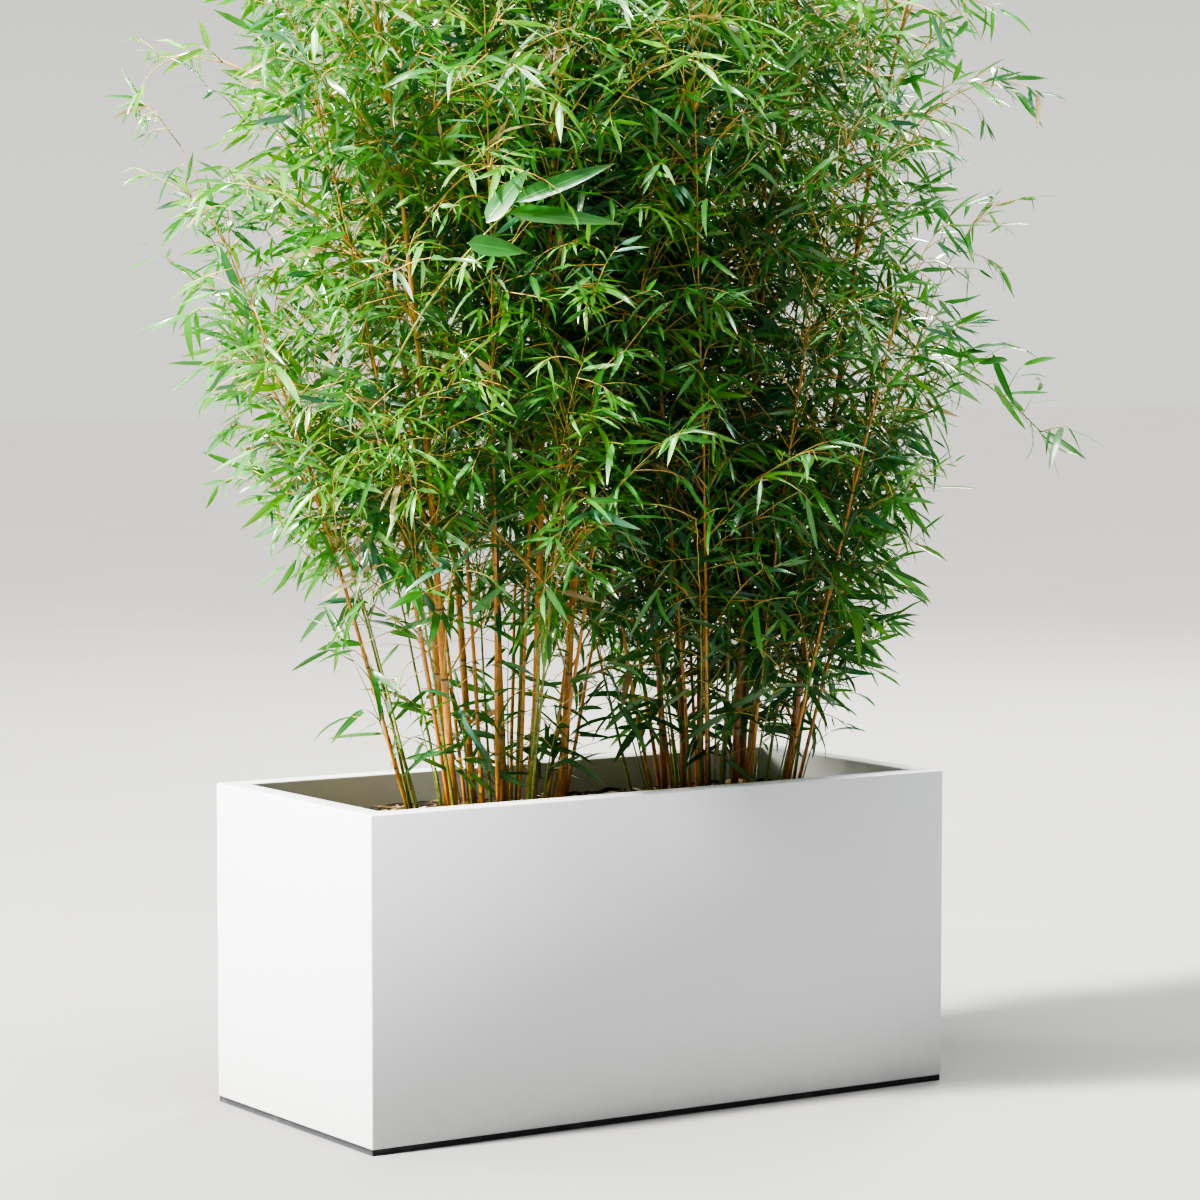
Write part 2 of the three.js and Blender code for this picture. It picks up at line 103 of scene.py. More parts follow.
# %% [markdown]
# ## Shader maths written as sums
#
# A material in Blender is a tree of nodes. Adding and linking Math nodes by hand is long and
# hard to read, so a small class wraps the output of a node: a sum or product of two such
# values adds the Math node by itself. A second class holds the tree and adds any other node.
# Colours are three numbers, to which it adds the fourth that a colour socket asks for.

# %% Values and finishes
class Value:
    """The output of a node, which can be added, multiplied and so on."""

    def __init__(self, finish, socket):
        self.finish = finish
        self.socket = socket

    def maths(self, operation, *terms):
        inputs = dict(enumerate(terms))
        return self.finish.node("ShaderNodeMath", {"operation": operation}, inputs)

    def __add__(self, other):
        return self.maths("ADD", self, other)

    def __sub__(self, other):
        return self.maths("SUBTRACT", self, other)

    def __rsub__(self, other):
        return self.maths("SUBTRACT", other, self)

    def __mul__(self, other):
        return self.maths("MULTIPLY", self, other)

    __radd__ = __add__

    def fraction(self):
        return self.maths("FRACT", self)

    def distance(self):
        return self.maths("ABSOLUTE", self)

    def between(self, low, high):
        """0 below low, 1 above high, and a smooth rise from one to the other."""
        settings = {"interpolation_type": "SMOOTHSTEP"}
        inputs = {"Value": self, "From Min": low, "From Max": high}
        return self.finish.node("ShaderNodeMapRange", settings, inputs)


class Finish:
    """A material, or the world, and the nodes that make its look."""

    def __init__(self, name, kind="materials"):
        self.block = getattr(bpy.data, kind).new(name)
        self.block.use_nodes = True
        self.tree = self.block.node_tree
        self.tree.nodes.clear()

    def node(self, kind, settings=None, inputs=None, output=0):
        made = self.tree.nodes.new(kind)
        for setting, value in (settings or {}).items():
            setattr(made, setting, value)
        for name, value in (inputs or {}).items():
            socket = made.inputs[name]
            if isinstance(value, Value):
                self.tree.links.new(value.socket, socket)
            else:
                socket.default_value = (*value, 1.0) if socket.type == "RGBA" else value
        return Value(self, made.outputs[output]) if made.outputs else None

    def place(self):
        """The point in the object's own metres."""
        return self.node("ShaderNodeTexCoord", output="Object")

    def height(self):
        return self.node("ShaderNodeSeparateXYZ", inputs={0: self.place()}, output="Z")

    def noise(self, scale, detail=3.0, axes=None):
        """Cloudy noise. Axes are three factors that make it finer along X, Y and Z."""
        place = self.place()
        if axes:
            place = self.node("ShaderNodeMapping", inputs={"Vector": place, "Scale": axes})
        inputs = {"Vector": place, "Scale": scale, "Detail": detail, "Roughness": 0.55}
        return self.node("ShaderNodeTexNoise", inputs=inputs)

    def attribute(self, name):
        return self.node("ShaderNodeAttribute", {"attribute_name": name}, output="Fac")

    def across_and_along(self):
        """The two numbers of the piece's UV map."""
        uv = self.node("ShaderNodeUVMap", {"uv_map": "UVMap"})
        apart = self.node("ShaderNodeSeparateXYZ", inputs={0: uv})
        return apart, Value(self, apart.socket.node.outputs["Y"])

    def mix(self, share, first, second):
        """A colour that is the first where share is 0 and the second where it is 1."""
        inputs = {0: share, 6: first, 7: second}
        return self.node("ShaderNodeMix", {"data_type": "RGBA"}, inputs, output=2)

    def bump(self, height, distance, strength, over=None):
        """Relief, which may lie over other relief."""
        inputs = {"Height": height, "Distance": distance, "Strength": strength}
        if over:
            inputs["Normal"] = over
        return self.node("ShaderNodeBump", inputs=inputs)

    def surface(self, **sockets):
        inputs = {name.replace("_", " "): value for name, value in sockets.items()}
        return self.node("ShaderNodeBsdfPrincipled", inputs=inputs)

    def close(self, surface):
        self.node("ShaderNodeOutputMaterial", inputs={"Surface": surface})
        return self.block

    def paint(self, **sockets):
        """The material of one plain surface."""
        return self.close(self.surface(**sockets))


print("Value and Finish are ready")

# %% [markdown]
# ## From arrays and operators to pieces
#
# A piece that has one form is shaped in a bmesh, with the same operators that the editor has.
# Thousands of leaves are too many for that, so their corners are worked out together as
# arrays and become one mesh in a single step. Both kinds end in the same helper, which puts
# the piece on the plant's only body and hides the solids that it stands for.

# %% Helpers that finish a piece
def dress(mesh, material, replaced=(), smooth=True):
    """An object for a finished mesh: it rides on the plant and takes the place of solids."""
    mesh.materials.append(material)
    for face in mesh.polygons:
        face.use_smooth = smooth
    piece = put(mesh.name, mesh)
    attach(piece, "root")
    if replaced:
        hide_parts(*replaced)
    mesh.calc_loop_triangles()
    print(f"{piece.name}: {len(mesh.loop_triangles)} triangles")
    return piece


def mesh_from_shape(name, shape):
    """The mesh of a bmesh, with its faces turned outwards."""
    bmesh.ops.recalc_face_normals(shape, faces=shape.faces)
    mesh = bpy.data.meshes.new(name)
    shape.to_mesh(mesh)
    shape.free()
    return mesh


def mesh_from_arrays(name, parts):
    """One mesh of parts: corners, triangles and, for leaves, a UV pair per corner."""
    corners, triangles, *uv = zip(*parts)
    starts = np.cumsum([0] + [len(part) for part in corners[:-1]])
    triangles = np.concatenate([part + start for part, start in zip(triangles, starts)])
    corners = np.concatenate(corners)
    mesh = bpy.data.meshes.new(name)
    mesh.vertices.add(len(corners))
    mesh.vertices.foreach_set("co", corners.astype(np.float32).ravel())
    mesh.loops.add(triangles.size)
    mesh.loops.foreach_set("vertex_index", triangles.astype(np.int32).ravel())
    mesh.polygons.add(len(triangles))
    mesh.polygons.foreach_set("loop_start", np.arange(0, triangles.size, 3, dtype=np.int32))
    for pairs in uv:
        layer = mesh.uv_layers.new(name="UVMap")
        pairs = np.concatenate(pairs)[triangles.ravel()]
        layer.data.foreach_set("uv", pairs.astype(np.float32).ravel())
    mesh.update(calc_edges=True)
    return mesh


print("helpers are ready")

# %% [markdown]
# ## The white planter
#
# The real planter is a white coated box with crisp edges and a flat rim as wide as its wall. A
# cube is the shortest way to it: the top face is inset by the wall and pressed down, and all
# edges get a small round bevel, which catches the light as the real edges do. The coat is
# satin, with the faint ripple of sprayed paint and a trace of dust low down.

# %% Shape the planter
WALL = 0.036
PLANTER_FLOOR = 0.040
EDGE_RADIUS = 0.0022
EDGE_STEPS = 3


def box_shape(low, high):
    """A cube stretched between two corners."""
    shape = bmesh.new()
    middle = (low + high) / 2
    size = high - low
    matrix = Matrix.Translation(middle) @ Matrix.Diagonal((*size, 1))
    bmesh.ops.create_cube(shape, size=1, matrix=matrix)
    return shape


def round_edges(shape, radius, steps):
    bmesh.ops.bevel(shape, geom=shape.edges[:], offset=radius, segments=steps, profile=0.5,
                    affect="EDGES", material=-1)


def hollow_top(shape, wall, depth):
    """Insets the top face and presses it down."""
    top = max(shape.faces, key=lambda face: face.calc_center_median().z)
    bmesh.ops.inset_region(shape, faces=[top], thickness=wall, use_even_offset=True)
    sunk = bmesh.ops.extrude_discrete_faces(shape, faces=[top])["faces"]
    bmesh.ops.translate(shape, verts=sunk[0].verts[:], vec=(0, 0, -depth))


planter_shape = box_shape(planter_low, planter_high)
hollow_top(planter_shape, WALL, planter_high.z - PLANTER_FLOOR)
round_edges(planter_shape, EDGE_RADIUS, EDGE_STEPS)
planter_mesh = mesh_from_shape("planter_shell", planter_shape)
print("planter", tuple(round(v, 3) for v in planter_high - planter_low))

# %% Paint the planter
SHARP_ANGLE = math.radians(35)


def white_coat():
    finish = Finish("white satin coat")
    cloud = finish.noise(5.0, 4.0)
    low_down = 1.0 - finish.height().between(0.0, 0.16)
    dust = low_down * finish.noise(42.0, 5.0) * 0.5 + cloud * 0.12
    ripple = finish.bump(finish.noise(900.0, 2.0), 0.00008, 0.35)
    return finish.paint(
        Base_Color=finish.mix(dust, (0.70, 0.72, 0.745), (0.55, 0.54, 0.5)),
        Roughness=0.36 + cloud * 0.12,
        Normal=finish.bump(finish.noise(6.0, 1.0), 0.002, 0.12, over=ripple),
    )


planter = dress(planter_mesh, white_coat(), ["planter"])
planter.data.set_sharp_from_angle(angle=SHARP_ANGLE)

# %% [markdown]
# ## The dark base strip
#
# A dark plastic foot lies under the shell and shows as a thin line along its bottom. A cube
# between the solid's own corners is rounded, and a groove is pressed into its side by an
# inset, so that the foot reads as a moulded part.

# %% Shape and paint the base strip
GROOVE_INSET = 0.0022
GROOVE_DEPTH = 0.0012
STRIP_EDGE = 0.0005
STRIP_STEPS = 2


def strip_mesh():
    shape = box_shape(strip_low, strip_high)
    sides = [face for face in shape.faces if abs(face.normal.z) < 0.5]
    bmesh.ops.inset_individual(shape, faces=sides, thickness=GROOVE_INSET, depth=-GROOVE_DEPTH,
                               use_even_offset=True)
    round_edges(shape, STRIP_EDGE, STRIP_STEPS)
    return mesh_from_shape("base_foot", shape)


def dark_plastic():
    finish = Finish("dark moulded plastic")
    grain = finish.noise(1500.0)
    scuff = finish.noise(30.0, 5.0).between(0.5, 0.75)
    return finish.paint(
        Base_Color=finish.mix(scuff * 0.5, (0.052, 0.056, 0.062), (0.14, 0.14, 0.135)),
        Roughness=0.52 + grain * 0.2,
        Normal=finish.bump(grain, 0.0001, 0.4),
    )


strip = dress(strip_mesh(), dark_plastic(), ["base_strip"])
strip.data.set_sharp_from_angle(angle=SHARP_ANGLE)

# %% [markdown]
# ## The plant's own rule
#
# A bamboo plant repeats one rule: canes stand in an oval clump, turned from each other by the
# golden angle, and lean outwards by how far from the middle they stand. The same rule with the
# same stream of numbers made the solids, so the canes grown here stand exactly where those do.

# %% A repeatable stream of numbers
GOLDEN_ANGLE = math.pi * (3 - math.sqrt(5))


class Draw:
    """The stream of numbers that the plant grows from."""

    def __init__(self, seed):
        self.state = (seed * 7919 + 104729) % 2147483647
        for _ in range(3):
            self.next()

    def next(self):
        self.state = self.state * 48271 % 2147483647
        return self.state / 2147483647

    def between(self, low, high):
        return low + (high - low) * self.next()


print("first numbers of stream 1:", Draw(1).next(), Draw(1).between(5, 6))

# %% The clumps and the crown
CLUMPS = [
    {"side": "left", "x": -0.165, "y": 0.005, "half_x": 0.150, "half_y": 0.105,
     "turn": 0.5, "lean": -0.05, "drop": 0.0, "seed": 11},
    {"side": "right", "x": 0.245, "y": -0.005, "half_x": 0.155, "half_y": 0.105,
     "turn": 2.2, "lean": 0.03, "drop": 0.090, "seed": 47},
]
CANES_PER_CLUMP = 6
SHOOTS_PER_CLUMP = 2
CANE = {"length": 1.640, "shortest": 0.86, "foot": 0.0066, "tip_share": 0.2, "joints": 15,
        "spread": (0.125, 0.125), "nod": 0.24, "kink": 0.02,
        "boughs": 4, "bough_radius": 0.0018, "bough_reach": 1.0, "bare_knots": 2}
SHOOT = {"length": 0.560, "foot": 0.0034, "joints": 6, "spread": (0.2, 0.2),
         "boughs": 2, "bough_radius": 0.0013, "bough_reach": 1.0, "bare_knots": 2}
STEM_FOOT = soil_high.z + 0.0003
FOLIAGE_STARTS = [1.180, 1.120, 0.900, 0.860, 0.600, 0.570, 0.640, 0.600]
TOTAL_HEIGHT = 2.100
CROWN_HEIGHTS = [soil_high.z, 0.760, 1.180, 1.600, TOTAL_HEIGHT]
CROWN_HALF_X = [0.430, 0.560, 0.690, 0.800, 0.600]
CROWN_HALF_Y = [0.200, 0.320, 0.410, 0.450, 0.330]


class Stem:
    """A cane or shoot: a line of joints with a radius at each."""

    def __init__(self, clump, place, kind, foot, draw, strength, foot_radius):
        self.clump = clump
        self.kind = kind
        self.place = place
        spread_x, spread_y = kind["spread"]
        lean_x = clump["lean"] + (foot.x - clump["x"]) / clump["half_x"] * spread_x
        lean_y = (foot.y - clump["y"]) / clump["half_y"] * spread_y
        outward = math.hypot(lean_x, lean_y)
        self.points = [foot]
        self.radii = [foot_radius]
        joints = kind["joints"]
        for joint in range(1, joints + 1):
            share = joint / joints
            bend = 1 + CANE["nod"] * share**3 / max(outward, 0.05)
            tilt_x = lean_x * bend + draw.between(-CANE["kink"], CANE["kink"])
            tilt_y = lean_y * bend + draw.between(-CANE["kink"], CANE["kink"])
            step = Vector((math.sin(tilt_x), math.sin(tilt_y), 1)).normalized()
            self.points.append(self.points[-1] + step * (kind["length"] * strength / joints))
            self.radii.append(foot_radius * (1 - (1 - CANE["tip_share"]) * share))


def foot_of(clump, turns, total, shift=0.0):
    """A stem's foot: turns golden angles round the clump's oval."""
    reach = math.sqrt((turns + 0.5) / total)
    angle = clump["turn"] + shift + turns * GOLDEN_ANGLE
    x = clump["x"] + clump["half_x"] * reach * math.cos(angle)
    y = clump["y"] + clump["half_y"] * reach * math.sin(angle)
    return Vector((x, y, STEM_FOOT))


def grow_stem(clump, place):
    draw = Draw(clump["seed"] + place)
    kind = SHOOT if place >= CANES_PER_CLUMP else CANE
    strength = draw.between(CANE["shortest"], 1)
    foot_radius = kind["foot"] * draw.between(0.8, 1)
    foot = foot_of(clump, place, CANES_PER_CLUMP + SHOOTS_PER_CLUMP)
    return Stem(clump, place, kind, foot, draw, strength, foot_radius)


stems = [
    grow_stem(clump, place)
    for clump in CLUMPS
    for place in range(CANES_PER_CLUMP + SHOOTS_PER_CLUMP)
]
canes = [stem for stem in stems if stem.place < CANES_PER_CLUMP]
shoots = [stem for stem in stems if stem.place >= CANES_PER_CLUMP]

# %% [markdown]
# ## Thin canes between the strong ones
#
# Every clump also sends up many weak canes as thick as a drinking straw. They are too thin to
# matter as solids, but without them the foot of the plant looks bare. They follow the same
# rule, with their feet turned half a golden angle from the strong ones, and lean out further,
# so that some show near the outside of the crown, where they end.

# %% Grow the thin canes
THIN_PER_CLUMP = 20
THIN = {"length": 1.50, "foot": 0.0034, "joints": 14, "spread": (0.30, 0.21),
        "boughs": 3, "bough_radius": 0.0012, "bough_reach": 0.5, "bare_knots": 1}
THIN_SHORTEST = 0.30
THIN_REACH = 0.86


def crown_share(x, y, z):
    """0 on the crown's axis, 1 on its outline, and more outside. It takes arrays too."""
    half_x = np.interp(z, CROWN_HEIGHTS, CROWN_HALF_X)
    half_y = np.interp(z, CROWN_HEIGHTS, CROWN_HALF_Y)
    return np.hypot(x / half_x, y / half_y)


def grow_thin(clump, turns):
    draw = Draw(clump["seed"] * 3 + turns)
    strength = THIN_SHORTEST + (1 - THIN_SHORTEST) * draw.next() ** 0.5
    foot_radius = THIN["foot"] * (0.5 + 0.5 * strength)
    foot = foot_of(clump, turns, THIN_PER_CLUMP, shift=GOLDEN_ANGLE / 2)
    stem = Stem(clump, turns, THIN, foot, draw, strength, foot_radius)
    for joint in range(4, len(stem.points)):
        if crown_share(*stem.points[joint]) > THIN_REACH:
            stem.points, stem.radii = stem.points[:joint], stem.radii[:joint]
            break
    return stem


thin_canes = [grow_thin(clump, turns) for clump in CLUMPS for turns in range(THIN_PER_CLUMP)]
print("thin canes", len(thin_canes))

# %% Grow the low shoots
# Some stay a hand or two high. They fill the foot of the plant with a few large leaves, and the
# right clump has more of them.
LOW_SHOOTS = {"left": 12, "right": 18}
LOW = {"length": 0.34, "foot": 0.0017, "joints": 6, "spread": (0.34, 0.34)}
LOW_TURN = 1.7


def grow_low(clump, turns):
    draw = Draw(clump["seed"] * 5 + turns)
    strength = draw.between(0.35, 1)
    foot = foot_of(clump, turns, LOW_SHOOTS[clump["side"]], LOW_TURN)
    return Stem(clump, turns, LOW, foot, draw, strength, LOW["foot"] * draw.between(0.7, 1))


low_shoots = [grow_low(clump, i) for clump in CLUMPS for i in range(LOW_SHOOTS[clump["side"]])]
print("low shoots", len(low_shoots))

# %% [markdown]
# ## Canes with joints
#
# A bamboo cane is a row of smooth tubes, each a hand long. At every joint there is a thin sharp
# scar where a sheath was, and just above it a rounded ridge. A circle is created at the foot and
# extruded ring by ring up the line of joints, with seven rings close together at each joint.
# A number on each ring says where it lies between two joints, and the finish reads it.

# %% Draw a cane from ring to ring
CANE_SIDES = 12
THIN_SIDES = 6
SUNK_FOOT = 0.014
# Heights above a joint and the share of the radius there.
JOINT_PROFILE = [
    (-0.0050, 1.00), (-0.0016, 1.05), (-0.0004, 1.15), (0.0005, 0.97),
    (0.0024, 1.10), (0.0045, 1.07), (0.0090, 1.00),
]


def cane_rings(stem):
    """Where the rings of a cane lie: a point, a direction, a radius and a place in joints."""
    rings = []
    first = (stem.points[1] - stem.points[0]).normalized()
    rings.append((stem.points[0] - first * SUNK_FOOT, first, stem.radii[0], 0.04))
    for joint in range(1, len(stem.points)):
        below, here = stem.points[joint - 1], stem.points[joint]
        length = (here - below).length
        along = (here - below).normalized()
        radius = stem.radii[joint]
        middle = (stem.radii[joint - 1] + radius) / 2
        rings.append((below.lerp(here, 0.5), along, middle, joint - 0.5))
        if joint + 1 == len(stem.points):
            rings.append((here, along, radius * 0.8, joint - 0.01))
            continue
        after = (stem.points[joint + 1] - here).normalized()
        for rise, share in JOINT_PROFILE:
            direction = along if rise < 0 else after
            place = joint + rise / length
            rings.append((here + direction * rise, (along + after) / 2, radius * share, place))
    return rings


def ring_matrix(point, direction, radius):
    turn = direction.to_track_quat("Z", "Y").to_matrix().to_4x4()
    return Matrix.Translation(point) @ turn @ Matrix.Scale(radius, 4)


def only(kind, parts):
    return [part for part in parts if isinstance(part, kind)]


def sweep(rings, sides):
    """A closed limb: a circle extruded from each ring to the next."""
    shape = bmesh.new()
    layer = shape.verts.layers.float.new("joint_place")
    matrix = ring_matrix(*rings[0][:3])
    corners = bmesh.ops.create_circle(shape, segments=sides, radius=1, matrix=matrix)["verts"]
    for corner in corners:
        corner[layer] = rings[0][3]
    first_edges = edges = shape.edges[:]
    for *where, place in rings[1:]:
        grown = bmesh.ops.extrude_edge_only(shape, edges=edges)["geom"]
        corners = only(bmesh.types.BMVert, grown)
        edges = only(bmesh.types.BMEdge, grown)
        after = ring_matrix(*where)
        bmesh.ops.transform(shape, matrix=after @ matrix.inverted(), verts=corners)
        matrix = after
        for corner in corners:
            corner[layer] = place
    for loop in (first_edges, edges):
        bmesh.ops.edgeloop_fill(shape, edges=loop)
    return shape


def stem_rings(points, radius, end_share):
    """Rings for a thin limb along a list of points."""
    last = len(points) - 1
    return [
        (point, (points[min(i + 1, last)] - points[max(i - 1, 0)]).normalized(),
         radius * (1 - (1 - end_share) * i / last), i * 0.5 + 0.2)
        for i, point in enumerate(points)
    ]


def limbs(name, lists_of_rings, sides=THIN_SIDES):
    """One mesh of a limb for each list of rings."""
    whole = bmesh.new()
    whole.verts.layers.float.new("joint_place")
    for rings in lists_of_rings:
        part = mesh_from_shape(name, sweep(rings, sides))
        whole.from_mesh(part)
        bpy.data.meshes.remove(part)
    mesh = bpy.data.meshes.new(name)
    whole.to_mesh(mesh)
    whole.free()
    return mesh


print("rings of one cane", len(cane_rings(canes[0])))

# %% Colour the canes
def cane_finish(name, light, dark, scar_colour, green):
    """Ripe cane: streaks along it, a dark scar and a pale bloom at each joint, green on top."""
    finish = Finish(name)
    place = finish.attribute("joint_place").fraction()
    from_joint = 0.5 - (place - 0.5).distance()
    scar = 1.0 - from_joint.between(0.004, 0.03)
    bloom = (1.0 - (1.0 - place).between(0.02, 0.16)) * 0.5
    streaks = finish.noise(1.0, 4.0, (420.0, 420.0, 9.0))
    patches = finish.noise(7.0)
    specks = finish.noise(260.0, 2.0).between(0.62, 0.7)
    greenness = (finish.height() + patches * 0.5).between(1.1, 2.1) * 0.75
    colour = finish.mix(streaks.between(0.3, 0.7), dark, light)
    colour = finish.mix(greenness, colour, green)
    colour = finish.mix(bloom, colour, (0.62, 0.5, 0.3))
    colour = finish.mix(specks * 0.55, colour, (0.09, 0.045, 0.02))
    colour = finish.mix(scar * 0.75, colour, scar_colour)
    relief = streaks * 0.4 + finish.noise(300.0, 2.0) * 0.2
    return finish.paint(
        Base_Color=colour,
        Roughness=0.22 + patches * 0.12 + scar * 0.3,
        Normal=finish.bump(relief, 0.0003, 0.5),
        Specular_IOR_Level=0.8,
    )


def solids(prefix):
    """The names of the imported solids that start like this."""
    return sorted(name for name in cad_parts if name.startswith(prefix))


golden_cane = cane_finish("golden cane", (0.78, 0.4, 0.09), (0.52, 0.21, 0.035),
                          (0.12, 0.06, 0.025), (0.34, 0.36, 0.07))
# The right clump's canes take a darker copy of the golden finish. This is painted shade, for the
# shade that the right clump stands in.
shade_painted_cane = cane_finish("golden cane in painted shade", (0.58, 0.27, 0.08), (0.32, 0.13, 0.04),
                         (0.07, 0.035, 0.018), (0.3, 0.3, 0.06))
for side, finish in (("left", golden_cane), ("right", shade_painted_cane)):
    rings = [cane_rings(cane) for cane in canes if cane.clump["side"] == side]
    dress(limbs("canes_" + side, rings, CANE_SIDES), finish, solids("cane_" + side))

# %% Young shoots and thin canes
green_cane = cane_finish("green shoot", (0.32, 0.42, 0.08), (0.16, 0.24, 0.04),
                         (0.2, 0.11, 0.05), (0.26, 0.38, 0.06))
tan_canes = [stem for i, stem in enumerate(thin_canes) if i % 3 < 2]
green_canes = [stem for i, stem in enumerate(thin_canes) if i % 3 == 2] + low_shoots
dress(limbs("young_shoots", map(cane_rings, shoots)), green_cane, solids("shoot"))
dress(limbs("thin_canes", map(cane_rings, tan_canes)), golden_cane)
dress(limbs("green_canes", map(cane_rings, green_canes)), green_cane)

# %% [markdown]
# ## Boughs and twigs
#
# From each joint of a cane above its bare foot a few thin boughs rise, spread by the golden
# angle, and bow outwards. At the knots of a bough twigs leave, left and right by turns, and
# each ends in a small fan of leaves. Each bough and twig is a list of points that stops where
# it would leave the crown's outline.

# %% Grow lines inside the crown
KNOT_STEP = 0.031
WOBBLE = 0.14
TOP_GAP = 0.05
SOIL_AIR = 0.02  # the lowest that a twig hangs over the soil, and how much more outside
OUTER_AIR = 0.05
Line = namedtuple("Line", "points start_radius end_radius side")


def heading(azimuth, elevation):
    flat = math.cos(elevation)
    return Vector((flat * math.cos(azimuth), flat * math.sin(azimuth), math.sin(elevation)))


def grow_line(start, azimuth, elevation, sag, length, step, draw, limit=0.97):
    """Points from the start on, which bow down by sag, until the length or the outline."""
    points = [start]
    count = max(1, round(length / step))
    for i in range(count):
        azimuth += (WOBBLE if i % 2 else -WOBBLE) * draw.between(0.3, 1)
        elevation -= sag * (i + 1) / count
        point = points[-1] + heading(azimuth, elevation) * step
        share = crown_share(*point)
        too_low = point.z < soil_high.z + SOIL_AIR + (OUTER_AIR if share > 0.75 else 0)
        if share > limit or point.z > TOTAL_HEIGHT - TOP_GAP or too_low:
            break
        points.append(point)
    return points, azimuth


print("a line of", len(grow_line(Vector((0, 0, 1)), 0, 1, 0.2, 0.3, 0.034, Draw(2))[0]), "points")

# %% Boughs, twigs and the fans at their ends
TWIG_STEP = 0.021
TWIG_RADIUS = 0.0011
LOW_TWIG_RADIUS = 0.0009
TWIG_TIP = 0.0006
BOUGH_TIP = 0.0007
LEADER_RISE = 1.2
LEADER_SAG = 0.14
LEADER_LENGTH = 0.2
Fan = namedtuple("Fan", "points side spray kind")
boughs = []
twigs = []
fans = []


def add_twig(points, radius, side, spray, kind):
    """A twig with a fan of leaves at its end."""
    if len(points) > 1:
        twigs.append(Line(points, radius, TWIG_TIP, side))
        fans.append(Fan(points, side, spray, kind))


def add_twigs(bough, azimuth, draw, side, spray, first=2, twig_length=(0.03, 0.10), limit=1.1,
              kind="crown"):
    """A twig at each knot of a bough, left and right by turns, and a fan at the bough's end."""
    for knot in range(first, len(bough)):
        turn = (1 if knot % 2 else -1) * draw.between(0.35, 1.3)
        rise = draw.between(-0.35, 1.1)
        along = bough[knot] - bough[knot - 1]
        own = math.atan2(along.y, along.x) if along.xy.length > 1e-4 else azimuth
        length = draw.between(*twig_length)
        sag = draw.between(0.0, 0.3)
        points, _ = grow_line(bough[knot], own + turn, rise, sag, length, TWIG_STEP, draw, limit)
        add_twig(points, TWIG_RADIUS, side, spray, kind)
    fans.append(Fan(bough, side, spray, kind))


def bough_length(share, draw):
    """Longest a third of the way up the leafy part, short at its top."""
    swell = math.sin(math.pi * min(1, 0.25 + 0.75 * share)) ** 0.7
    return (0.09 + 0.26 * swell) * draw.between(0.45, 1.15)


def dress_stem(stem, start_height, seed):
    """Boughs at every joint of a stem above a height, and a leader that goes on from its tip."""
    draw = Draw(seed)
    kind, side, tip = stem.kind, stem.clump["side"], stem.points[-1]
    for joint, point in enumerate(stem.points):
        if point.z < start_height:
            continue
        share = (point.z - start_height) / max(tip.z - start_height, 0.01)
        first_turn = (joint * 0.5 + stem.place) * GOLDEN_ANGLE + math.pi * (joint % 2)
        for k in range(kind["boughs"] if share > 0.12 else kind["boughs"] - 1):
            azimuth = first_turn + (k * GOLDEN_ANGLE) + draw.between(-0.3, 0.3)
            start = point + heading(azimuth, 0) * stem.radii[joint] * 0.7 + Vector((0, 0, 0.003))
            rise = draw.between(0.8, 1.3)
            length = bough_length(share, draw) * kind["bough_reach"]
            sag = draw.between(0.06, 0.24)
            limit = draw.between(0.82, 1.06)
            points, turned_to = grow_line(start, azimuth, rise, sag, length, KNOT_STEP, draw, limit)
            if len(points) > 2:
                boughs.append(Line(points, kind["bough_radius"], BOUGH_TIP, side))
                add_twigs(points, turned_to, draw, side, draw.next(), kind["bare_knots"])
    along = tip - stem.points[-2]
    leader, turned_to = grow_line(tip, math.atan2(along.y, along.x), LEADER_RISE, LEADER_SAG,
                                  LEADER_LENGTH, KNOT_STEP, draw, 1.0)
    if len(leader) > 1:
        boughs.append(Line(leader, stem.radii[-1] * 0.8, TWIG_TIP, side))
        add_twigs(leader, turned_to, draw, side, draw.next())


THIN_BARE_SHARE = {"left": 0.45, "right": 0.20}
THIN_SEED = 900
LOW_SEED = 1300

for stem in stems:
    start = FOLIAGE_STARTS[stem.place] - stem.clump["drop"]
    dress_stem(stem, start, stem.clump["seed"] * 10 + stem.place)
for number, stem in enumerate(thin_canes):
    bare = THIN_BARE_SHARE[stem.clump["side"]]
    dress_stem(stem, STEM_FOOT + bare * (stem.points[-1].z - STEM_FOOT), THIN_SEED + number)
for number, stem in enumerate(low_shoots):
    draw = Draw(LOW_SEED + number)
    side = stem.clump["side"]
    for joint in range(2, len(stem.points)):
        azimuth = joint * math.pi + draw.between(-0.6, 0.6)
        points, _ = grow_line(stem.points[joint], azimuth, draw.between(0.2, 0.9), 0.2,
                              draw.between(0.03, 0.10), TWIG_STEP, draw)
        add_twig(points, LOW_TWIG_RADIUS, side, 1.3, "low")
    fans.append(Fan(stem.points, side, 1.2, "low"))
print("boughs", len(boughs), "twigs", len(twigs), "fans", len(fans))

# %% [markdown]
# ## The long arching bough
#
# One bough of the right clump reaches far out past the planter's end and hangs there. It keeps
# the route of its solid: from the outermost cane over a crest down to the tip. Its twigs are
# short, and its leaves hang in a row.

# %% Grow the arching bough
ARCH_FROM = 0.985
ARCH_CREST = Vector((0.560, -0.110, 1.170))
ARCH_TIP = Vector((0.745, -0.160, 0.985))
ARCH_STEPS = 12
ARCH_RADIUS = 0.0022


def curve(start, middle, end, steps):
    """Points of a bow from the start to the end, drawn out towards the middle."""
    shares = [i / steps for i in range(steps + 1)]
    return [start.lerp(middle, s).lerp(middle.lerp(end, s), s) for s in shares]


def axis_at(stem, height):
    """The point of a stem's axis at a height."""
    for below, above in zip(stem.points, stem.points[1:]):
        if height <= above.z:
            break
    share = (height - below.z) / (above.z - below.z)
    return below.lerp(above, min(max(share, 0), 1))


